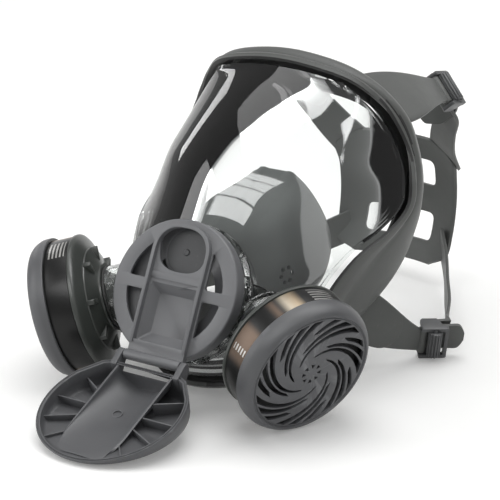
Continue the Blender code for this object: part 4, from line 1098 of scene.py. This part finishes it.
def make_lid():
    outline = arc((0, HINGE_BELOW), LID_RADIUS, -28, 208, 110)
    outline += [(-0.0402, 0.0226), (-0.0300, 0.0096), (-0.0255, 0.0075), (0.0255, 0.0075), (0.0300, 0.0096)]

    def ring(scale, height):
        """The outline drawn in by a scale, at the height that its own y gives."""
        points = [(x * scale, HINGE_BELOW + (y - HINGE_BELOW) * scale) for x, y in outline]
        return [(x, y, height(y)) for x, y in points]

    wall = 0.0017
    rows = [ring(0.50, lid_depth), ring(0.925, lid_depth), ring(0.950, lambda y: lid_depth(y) * 0.93),
            ring(0.975, lambda y: lid_depth(y) * 0.66), ring(0.990, lambda y: lid_depth(y) * 0.30),
            ring(1.000, lambda y: 0.0008), ring(0.996, lambda y: 0.0001), ring(0.986, lambda y: 0.0001),
            ring(0.980, lambda y: 0.0008), ring(0.964, lambda y: 0.0010), ring(0.958, lambda y: 0.0004),
            ring(0.944, lambda y: 0.0004), ring(0.938, lambda y: 0.0010),
            ring(0.926, lambda y: 0.0010 + (lid_depth(y) - wall) * 0.45),
            ring(0.905, lambda y: 0.0004 + (lid_depth(y) - wall) * 0.85),
            ring(0.880, lambda y: lid_depth(y) - wall), ring(0.50, lambda y: lid_depth(y) - wall)]
    lid = sheet("lid_tray", rows, ring=True)
    bpy.ops.object.mode_set(mode="EDIT")
    bpy.ops.mesh.select_all(action="SELECT")
    bpy.ops.mesh.fill_holes(sides=0)
    bpy.ops.mesh.select_all(action="SELECT")
    bpy.ops.mesh.normals_make_consistent(inside=False)
    bpy.ops.object.mode_set(mode="OBJECT")

    rows = []
    for i in range(31):
        y = 0.0085 + 0.0745 * i / 30
        half = 0.0193 - 0.0046 * max(0, (y - 0.060) / 0.023) ** 2
        top, floor_z = gutter_top(y), lid_depth(y) - 0.0016
        rows.append([(-half * (abs(cos(a)) ** 0.85) * (1 if a < pi / 2 else -1), y,
                      top + (floor_z - top) * sin(a)) for a in [pi * k / 28 for k in range(29)]])
    gutter = walled(sheet("gutter", rows), 0.0013, 0)
    round_edges(gutter, 0.0003, 2, 50)

    pieces = [gutter]
    for side in (1, -1):
        for turn in (50, 24, -3, -33):
            spin = (Matrix.Translation((0, HINGE_BELOW, 0))
                    @ Matrix.Rotation(radians(turn if side > 0 else 180 - turn), 4, "Z"))
            near, out = 0.0190 / cos(radians(turn)), 0.0424
            y_near = HINGE_BELOW + near * sin(radians(turn))
            y_out = HINGE_BELOW + out * sin(radians(turn))
            if near > 0.036:
                near, y_near = 0.0300, HINGE_BELOW + 0.0300 * sin(radians(turn))
            fin = [(near, gutter_top(y_near) + 0.0004), (out, 0.40 * lid_depth(y_out)),
                   (out, lid_depth(y_out) - 0.0008), (near, lid_depth(y_near) - 0.0008)]
            blade = round_edges(plate("fin", fin, -0.00045, 0.00045), 0.0002, 2)
            pieces.append(place(blade, spin @ Matrix.Rotation(pi / 2, 4, "X")))
    ejector = turned("ejector", [(0.0027, 0), (0.0033, 0), (0.0033, 0.0006), (0.0027, 0.0006)], 40,
                     closed=True)
    pieces.append(place(ejector, Matrix.Translation((-0.0015, 0.040, lid_depth(0.040) - 0.0029))))
    for side in (1, -1):
        ear = [(-0.0030, 0.0), (-0.0015, -0.0030), (0.0015, -0.0030), (0.0105, 0.0000),
               (0.0105, 0.0100), (0.0060, 0.0100), (-0.0015, 0.0030)]
        low, high = sorted((side * 0.0203, side * 0.0244))
        lug = plate("ear", ear, low, high)
        turn = Matrix(((0, 0, 1, 0), (1, 0, 0, 0), (0, 1, 0, 0), (0, 0, 0, 1)))
        pieces.append(round_edges(place(lug, turn), 0.0005, 2))
    carve(lid, block("end_gap", (-0.0184, -0.0060, 0.0008), (0.0184, 0.0100, 0.0300)))
    lid = joined("lid", [round_edges(lid, 0.0003, 2, 50)] + pieces)
    smooth(place(lid, LID), 35)
    return dress(lid, shell_plastic, "shell_plastic", "lid", "lid")


make_lid()

# %% [markdown]
# ## Foil sleeve finish
# The sleeve round each can is metallised film. The bands of brown, gold and black that run round it by
# angle are painted reflections of the lamps on the film. The real print carries words and marks; here a few
# plain pale bars and a blank patch stand in for them.

# %% Foil print and painted reflections
def foil_print_and_reflections(name):
    made = bpy.data.materials.new(name)
    made.use_nodes = True
    nodes, links = made.node_tree.nodes, made.node_tree.links
    nodes.clear()
    bands_frame = nodes.new("NodeFrame")
    bands_frame.label, bands_frame.location = "painted reflection bands round the can", (-900, 500)
    bars_frame = nodes.new("NodeFrame")
    bars_frame.label, bars_frame.location = "plain bars in place of print", (-900, 0)
    film_frame = nodes.new("NodeFrame")
    film_frame.label, film_frame.location = "crinkled film", (-300, -700)
    out = nodes.new("ShaderNodeOutputMaterial")
    out.label, out.location = "foil sleeve", (900, 200)
    film = nodes.new("ShaderNodeBsdfPrincipled")
    film.label, film.location = "metallised film", (600, 200)
    film.inputs["Metallic"].default_value = 0.55
    film.inputs["Roughness"].default_value = 0.32
    wrap = nodes.new("ShaderNodeUVMap")
    wrap.label, wrap.location, wrap.uv_map = "angle and height", (-1500, 200), "wrap"
    split = nodes.new("ShaderNodeSeparateXYZ")
    split.label, split.location = "angle, height", (-1300, 200)

    bands = nodes.new("ShaderNodeValToRGB")
    bands.label, bands.location, bands.parent = "painted reflections: brown, black and gold", (-600, 400), bands_frame
    # The stops by angle round the can are painted reflections of the lamps on the film; gold and pale are
    # painted highlights.
    black, brown = (0.012, 0.012, 0.012, 1), (0.085, 0.056, 0.038, 1)
    gold, pale = (0.260, 0.200, 0.130, 1), (0.300, 0.260, 0.200, 1)
    stops = [(0.000, black), (0.262, black), (0.280, gold), (0.300, pale), (0.318, black), (0.330, brown),
             (0.345, black), (0.385, black), (0.400, brown), (0.470, brown), (0.490, black), (0.640, black),
             (0.655, brown), (0.700, brown), (0.715, black), (0.830, black), (0.842, gold), (0.860, black),
             (1.000, black)]
    ramp = bands.color_ramp
    ramp.elements[0].color, ramp.elements[1].color = black, black
    for position, colour in stops[1:-1]:
        ramp.elements.new(position).color = colour

    span = nodes.new("ShaderNodeValToRGB")
    span.label, span.location, span.parent = "where bars stand", (-600, 100), bars_frame
    span.color_ramp.interpolation = "CONSTANT"
    span.color_ramp.elements[0].color = (0, 0, 0, 1)
    span.color_ramp.elements[1].position, span.color_ramp.elements[1].color = 0.235, (0, 0, 0, 1)
    for position, level in ((0.175, 1), (0.440, 1), (0.456, 0)):
        span.color_ramp.elements.new(position).color = (level, level, level, 1)
    rows = nodes.new("ShaderNodeMath")
    rows.label, rows.location, rows.parent = "six rows", (-1100, -150), bars_frame
    rows.operation = "MULTIPLY"
    rows.inputs[1].default_value = 6
    part = nodes.new("ShaderNodeMath")
    part.label, part.location, part.parent = "place in a row", (-900, -150), bars_frame
    part.operation = "FRACT"
    inked = nodes.new("ShaderNodeMath")
    inked.label, inked.location, inked.parent = "inked half", (-700, -150), bars_frame
    inked.operation = "GREATER_THAN"
    inked.inputs[1].default_value = 0.55
    margin = nodes.new("ShaderNodeMath")
    margin.label, margin.location, margin.parent = "clear of the edges", (-700, -350), bars_frame
    margin.operation = "COMPARE"
    margin.inputs[1].default_value = 0.5
    margin.inputs[2].default_value = 0.38
    kept = nodes.new("ShaderNodeMath")
    kept.label, kept.location, kept.parent = "rows kept", (-450, -250), bars_frame
    kept.operation = "MULTIPLY"
    bars = nodes.new("ShaderNodeMath")
    bars.label, bars.location, bars.parent = "bars", (-250, -100), bars_frame
    bars.operation = "MULTIPLY"
    printed = nodes.new("ShaderNodeMix")
    printed.label, printed.location, printed.data_type = "print over film", (200, 250), "RGBA"
    printed.inputs[7].default_value = (0.400, 0.395, 0.380, 1)

    where = nodes.new("ShaderNodeTexCoord")
    where.label, where.location, where.parent = "place on the sleeve", (-400, -600), film_frame
    crinkle = nodes.new("ShaderNodeTexNoise")
    crinkle.label, crinkle.location, crinkle.parent = "crinkle", (-200, -600), film_frame
    crinkle.inputs["Scale"].default_value = 260
    crinkle.inputs["Detail"].default_value = 3
    relief = nodes.new("ShaderNodeBump")
    relief.label, relief.location, relief.parent = "waviness", (50, -600), film_frame
    relief.inputs["Strength"].default_value = 0.25
    relief.inputs["Distance"].default_value = 0.0002

    links.new(wrap.outputs["UV"], split.inputs["Vector"])
    links.new(split.outputs["X"], bands.inputs["Fac"])
    links.new(split.outputs["X"], span.inputs["Fac"])
    links.new(split.outputs["Y"], rows.inputs[0])
    links.new(rows.outputs[0], part.inputs[0])
    links.new(part.outputs[0], inked.inputs[0])
    links.new(split.outputs["Y"], margin.inputs[0])
    links.new(inked.outputs[0], kept.inputs[0])
    links.new(margin.outputs[0], kept.inputs[1])
    links.new(kept.outputs[0], bars.inputs[0])
    links.new(span.outputs["Color"], bars.inputs[1])
    links.new(bars.outputs[0], printed.inputs[0])
    links.new(bands.outputs["Color"], printed.inputs[6])
    links.new(printed.outputs[2], film.inputs["Base Color"])
    links.new(where.outputs["Object"], crinkle.inputs["Vector"])
    links.new(crinkle.outputs["Fac"], relief.inputs["Height"])
    links.new(relief.outputs["Normal"], film.inputs["Normal"])
    links.new(film.outputs["BSDF"], out.inputs["Surface"])
    return made


label_foil = foil_print_and_reflections("label_foil")


# %% [markdown]
# ## Cartridges
# Each cartridge is a black can with a printed foil sleeve and a grey cap that presses over its front. The
# cap's grille has slots that swirl out from the middle; the same moulding is used on both sides, so the
# swirl is not mirrored.

# %% Grille slots
def swirl_slot(start, end, turn, half_angle, steps=12):
    radii = [start * (end / start) ** (i / steps) for i in range(steps + 1)]

    def side(offset):
        angles = [radians(turn + offset - 88 * log(r / 0.0118)) for r in radii]
        return [(r * cos(a), r * sin(a)) for r, a in zip(radii, angles)]

    return rounded_corners(side(half_angle) + side(-half_angle)[::-1], 0.0007, 3)


def make_cap(name, at):
    profile = [(0, 0.0070), (0.0120, 0.0069), (0.0250, 0.0066), (0.0374, 0.0060), (0.0378, 0.0054),
               (0.0384, 0.0054), (0.0388, 0.0061), (0.0392, 0.0065), (0.0397, 0.0063), (0.0407, 0.0056),
               (0.0418, 0.0044), (0.0429, 0.0024), (0.0437, 0.0004), (0.0440, -0.0014),
               (0.0440, -0.0046), (0.0437, -0.0050), (0.0420, -0.0050), (0.0420, -0.0008),
               (0.0408, 0.0022), (0.0390, 0.0036), (0, 0.0046)]
    cap = turned(f"cartridge_cap_face_{name}", profile, 144)
    cutters = []
    for group in range(7):
        for k, start in enumerate((0.0118, 0.0186, 0.0283)):
            slot = swirl_slot(start, 0.0370, 142 - 360 / 7 * group + 15 * k, (5.6, 5.4, 4.6)[k])
            cutters.append(plate("slot", slot, 0.0020, 0.0090))
    for k in range(8):
        small = [(0.0066 * cos(radians(45 * k + a)) if r else 0.0036 * cos(radians(45 * k)),
                  0.0066 * sin(radians(45 * k + a)) if r else 0.0036 * sin(radians(45 * k)))
                 for a, r in ((-13, 1), (13, 1), (0, 0))]
        cutters.append(plate("small_hole", small, 0.0030, 0.0090))
    carve(cap, joined("slots", cutters))
    round_edges(cap, 0.00025, 2, 40)
    smooth(place(cap, at), 30)
    return dress(cap, shell_plastic, "shell_plastic", f"cartridge_{name}", f"cartridge_cap_{name}")


def make_can(name, at):
    profile = [(0.0395, -0.0010), (0.0410, -0.0010), (0.0412, -0.0012), (0.0412, -0.0199),
               (0.0416, -0.0203), (0.0424, -0.0205), (0.0426, -0.0208), (0.0426, -0.0222),
               (0.0422, -0.0230), (0.0410, -0.0239), (0.0396, -0.0246), (0.0330, -0.0276),
               (0.0325, -0.0283), (0.0222, -0.0328), (0.0216, -0.0334), (0.0215, -0.0345),
               (0.0135, -0.0345), (0.0135, -0.0446), (0.0131, -0.0450), (0.0115, -0.0450),
               (0.0115, -0.0320), (0.0190, -0.0310), (0.0375, -0.0232), (0.0395, -0.0222)]
    pieces = [turned(f"can_{name}", profile, 128, closed=True)]
    for turn in range(15, 375, 45):
        lug = round_edges(block("lug", (0.0230, -0.0016, -0.0322), (0.0330, 0.0016, -0.0268)), 0.0004)
        pieces.append(place(lug, Matrix.Rotation(radians(turn), 4, "Z")))
    can = smooth(place(joined(f"cartridge_can_{name}", pieces), at), 30)
    return dress(can, can_plastic, "can_plastic", f"cartridge_{name}", f"cartridge_body_{name}")


def make_label(name, at):
    profile = [(0.0414, -0.0056), (0.0418, -0.0054), (0.0419, -0.0058), (0.0419, -0.0196),
               (0.0418, -0.0200), (0.0414, -0.0200)]
    sleeve = turned(f"cartridge_sleeve_{name}", profile, 128, closed=True)
    wrap = sleeve.data.uv_layers.new(name="wrap")
    for poly in sleeve.data.polygons:
        middle = Vector((poly.center.x, poly.center.y))
        home = atan2(middle.y, middle.x) % tau
        for loop in poly.loop_indices:
            point = sleeve.data.vertices[sleeve.data.loops[loop].vertex_index].co
            turn = atan2(point.y, point.x) % tau
            turn += tau * round((home - turn) / tau)
            wrap.data[loop].uv = (turn / tau, (point.z + 0.0200) / 0.0146)
    smooth(place(sleeve, at), 40)
    return dress(sleeve, label_foil, "label", f"cartridge_{name}", f"cartridge_label_{name}")


for NAME, AT in CARTRIDGES.items():
    make_cap(NAME, AT)
    make_can(NAME, AT)
    make_label(NAME, AT)

# %% [markdown]
# ## Buckles
# Each buckle is a stiff frame round a ribbed roller. The tab's bead turns round the front bar, and the
# strap runs under the roller and back round the cross bar. The roller spins in the cheeks.

# %% Buckles
def make_buckle(level, at):
    inner, long, wide = 0.0105, 0.0090, 0.0130
    outline = [(-long, -wide), (long, -wide), (long, wide), (-long, wide), (-long, inner),
               (long - 0.0024, inner), (long - 0.0024, -inner), (-long, -inner)]
    frame_piece = plate("frame", rounded_corners(outline, 0.0014, 3), 0.0004, 0.0034)
    for hand in (1, -1):
        low, high = sorted((hand * inner, hand * wide))
        cheek = [(-long, -0.0054), (-long + 0.0014, -0.0068), (0.0016, -0.0068), (0.0030, -0.0054),
                 (0.0060, 0.0006), (-long, 0.0010)]
        turn = Matrix(((1, 0, 0, 0), (0, 0, -1, 0), (0, 1, 0, 0), (0, 0, 0, 1)))
        join_solid(frame_piece, place(plate("cheek", cheek, -high, -low), turn))
    join_solid(frame_piece, rod("front_bar", 0.0016, -wide + 0.001, wide - 0.001, "Y", tuple(BAR), 32))
    join_solid(frame_piece, block("cross_bar", (-0.0012, -wide + 0.001, -0.0068),
                                  (0.0028, wide - 0.001, -0.0050)))
    for hand in (1, -1):
        low, high = sorted((hand * (inner - 0.001), hand * (inner + 0.0018)))
        carve(frame_piece, rod("seat", 0.0019, low, high, "Y", (0.0005, 0, 0.0024), 32))
    round_edges(frame_piece, 0.0005, 2, 40)
    return smooth(place(joined(f"buckle_frame_{level}", [frame_piece]), at), 35)


def make_roller(level, at):
    """Fourteen flat ribs run along the roller, with a groove between each pair."""
    ribs, outline = 14, []
    for i in range(ribs):
        for share, radius in ((0.06, 0.0046), (0.30, 0.0046), (0.54, 0.0046), (0.66, 0.0038),
                              (0.94, 0.0038)):
            angle = tau * (i + share) / ribs
            outline.append((radius * cos(angle), radius * sin(angle)))
    barrel = round_edges(plate("barrel", outline, -0.0101, 0.0101), 0.0002, 2, 30)
    place(barrel, Matrix.Rotation(pi / 2, 4, "X"))
    pins = round_edges(rod("pins", 0.0015, -0.0119, 0.0119, "Y", sides=24), 0.0002, 2, 50)
    roller = joined(f"buckle_roller_{level}", [barrel, pins])
    return smooth(place(roller, at @ Matrix.Translation((0.0005, 0, 0.0024))), 35)


for LEVEL, AT in (("upper", UPPER_STRAP_AT), ("lower", LOWER_STRAP_AT)):
    LEFT_FRAME, LEFT_ROLLER = make_buckle(LEVEL, AT), make_roller(LEVEL, AT)
    for SIDE, FRAME_PIECE, ROLLER in (
            ("left", LEFT_FRAME, LEFT_ROLLER),
            ("right", mirror_copy(LEFT_FRAME, "frame_copy"), mirror_copy(LEFT_ROLLER, "roller_copy"))):
        FRAME_PIECE.name = FRAME_PIECE.data.name = f"buckle_frame_piece_{LEVEL}_{SIDE}"
        ROLLER.name = ROLLER.data.name = f"buckle_roller_piece_{LEVEL}_{SIDE}"
        dress(FRAME_PIECE, buckle_plastic, "buckle_plastic", f"buckle_{LEVEL}_{SIDE}",
              f"buckle_frame_{LEVEL}_{SIDE}")
        dress(ROLLER, buckle_plastic, "buckle_plastic", f"roller_{LEVEL}_{SIDE}",
              f"buckle_roller_{LEVEL}_{SIDE}")


# %% [markdown]
# ## Head harness
# A rubber pad with two openings sits behind the head. Four straps leave it, and each is pulled through its
# buckle. A strap wraps the buckle's bars at one end and runs back to the pad at the other.

# %% Pad
PAD_ROWS = [(0.1080, 0.0300, 0.2860), (0.0960, 0.0470, 0.2920), (0.0800, 0.0470, 0.2980),
            (0.0600, 0.0465, 0.3000), (0.0400, 0.0460, 0.2970), (0.0250, 0.0450, 0.2900),
            (0.0160, 0.0300, 0.2850)]
PAD_CURL = 0.014


def make_pad():
    rows = []
    for station in flow(PAD_ROWS, 5):
        height, half, depth = station
        xs = [half * (2 * i / 40 - 1) for i in range(41)]
        rows.append([(x, depth - PAD_CURL * (x / 0.0470) ** 2, height) for x in xs])
    pad = walled(sheet("pad", rows), 0.0026, 0)
    for low, high in ((0.0700, 0.0900), (0.0300, 0.0500)):
        corners = [(-0.0270, -high), (0.0270, -high), (0.0270, -low), (-0.0270, -low)]
        window = plate("pad_window", rounded_corners(corners, 0.0050, 6), 0.26, 0.32)
        carve(pad, place(window, Matrix.Rotation(-pi / 2, 4, "X")))
    round_edges(pad, 0.0007, 2, 45)
    pad = smooth(place(joined("harness_pad", [pad]), MASK), 40)
    return dress(pad, seal_rubber, "seal_rubber", "root", "head_harness")


make_pad()

# %% Straps
STRAP_THICK = 0.0020
STRAP_WIDTH = 0.0200
UPPER_ROUTE = [(0.0570, 0.2480, 0.1400), (0.0500, 0.2570, 0.1270), (0.0430, 0.2690, 0.1120),
               (0.0370, 0.2860, 0.0960)]
LOWER_ROUTE = [(0.0960, 0.1760, 0.0140), (0.0850, 0.2020, 0.0150), (0.0700, 0.2300, 0.0180),
               (0.0530, 0.2620, 0.0240), (0.0370, 0.2870, 0.0320)]


def strap_stations(level):
    """Middle line, across direction and width at each station of the left strap, from its tail end."""
    at = MASK.inverted() @ (UPPER_STRAP_AT if level == "upper" else LOWER_STRAP_AT)
    turn_radius = 0.0009 + 0.0004 + STRAP_THICK / 2
    top, low, front = -0.0059 + turn_radius, -0.0059 - turn_radius, 0.0008 - 0.0020
    if level == "upper":
        tail = [(0.0180, -0.0330, 0.0120), (0.0190, -0.0250, 0.0230), (0.0185, -0.0170, 0.0250),
                (0.0165, -0.0105, 0.0240), (0.0135, -0.0060, 0.0210), (0.0100, top, STRAP_WIDTH)]
    else:
        tail = [(0.0205, top, 0.0060), (0.0185, top, 0.0150), (0.0160, top, STRAP_WIDTH),
                (0.0100, top, STRAP_WIDTH)]
    smooth_tail = flow(tail, 6)[:-1]
    tip = smooth_tail[0]
    nose = []
    if level == "upper":
        second = smooth_tail[1]
        away = (tip - second).normalized()
        nose = [Vector((tip.x + away.x * d, tip.y + away.y * d, w)) for d, w in
                ((0.0030, 0.0030), (0.0024, 0.0072), (0.0014, 0.0100))]
    bend = [Vector((front + turn_radius * cos(a), -0.0059 + turn_radius * sin(a), STRAP_WIDTH))
            for a in [pi / 2 + pi * i / 14 for i in range(15)]]
    flat = nose + smooth_tail + [Vector((0.0100, top, STRAP_WIDTH)), Vector((0.0040, top, STRAP_WIDTH))]
    flat += bend + [Vector((0.0040, low, STRAP_WIDTH)), Vector((0.0090, low, STRAP_WIDTH))]
    points = [at @ Vector((p.x, 0, p.y)) for p in flat]
    widths = [min(p.z, 0.0252) for p in flat]
    across = at.to_3x3() @ Vector((0, 1, 0))
    sides = [across] * len(points)
    route = UPPER_ROUTE if level == "upper" else LOWER_ROUTE
    path = flow([points[-1]] + route, 8)[1:]
    end = Vector((-0.85, 0.25, 0.35)) if level == "upper" else Vector((0.0, -0.1, 1.0))
    for i, point in enumerate(path):
        t = ((i + 1) / len(path)) ** 2
        points.append(point)
        sides.append(across.lerp(end, t).normalized())
        widths.append(STRAP_WIDTH + (0.010 * t if level == "upper" else 0.004 * t))
    return points, sides, widths


def make_strap(level, name):
    points, sides, widths = strap_stations(level)
    rows = []
    for i, (point, side, width) in enumerate(zip(points, sides, widths)):
        along = (points[min(i + 1, len(points) - 1)] - points[max(i - 1, 0)]).normalized()
        side = (side - along * side.dot(along)).normalized()
        rows.append([point + side * width * share for share in
                     (-0.5, -0.47, -0.42, -0.3, -0.1, 0.1, 0.3, 0.42, 0.47, 0.5)])
    strap = walled(sheet(name, rows), STRAP_THICK, 0)
    round_edges(strap, 0.0006, 2, 60)
    return smooth(place(joined(name, [strap]), MASK), 45)


for LEVEL, AT in (("upper", UPPER_STRAP_AT), ("lower", LOWER_STRAP_AT)):
    LEFT_STRAP = make_strap(LEVEL, f"strap_{LEVEL}_left")
    for SIDE, STRAP, TURN in (("left", LEFT_STRAP, Matrix.Identity(4)),
                              ("right", mirror_copy(LEFT_STRAP, f"strap_{LEVEL}_right"), FLIP)):
        dress(STRAP, seal_rubber, "seal_rubber", None, "head_harness")
        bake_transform(STRAP)
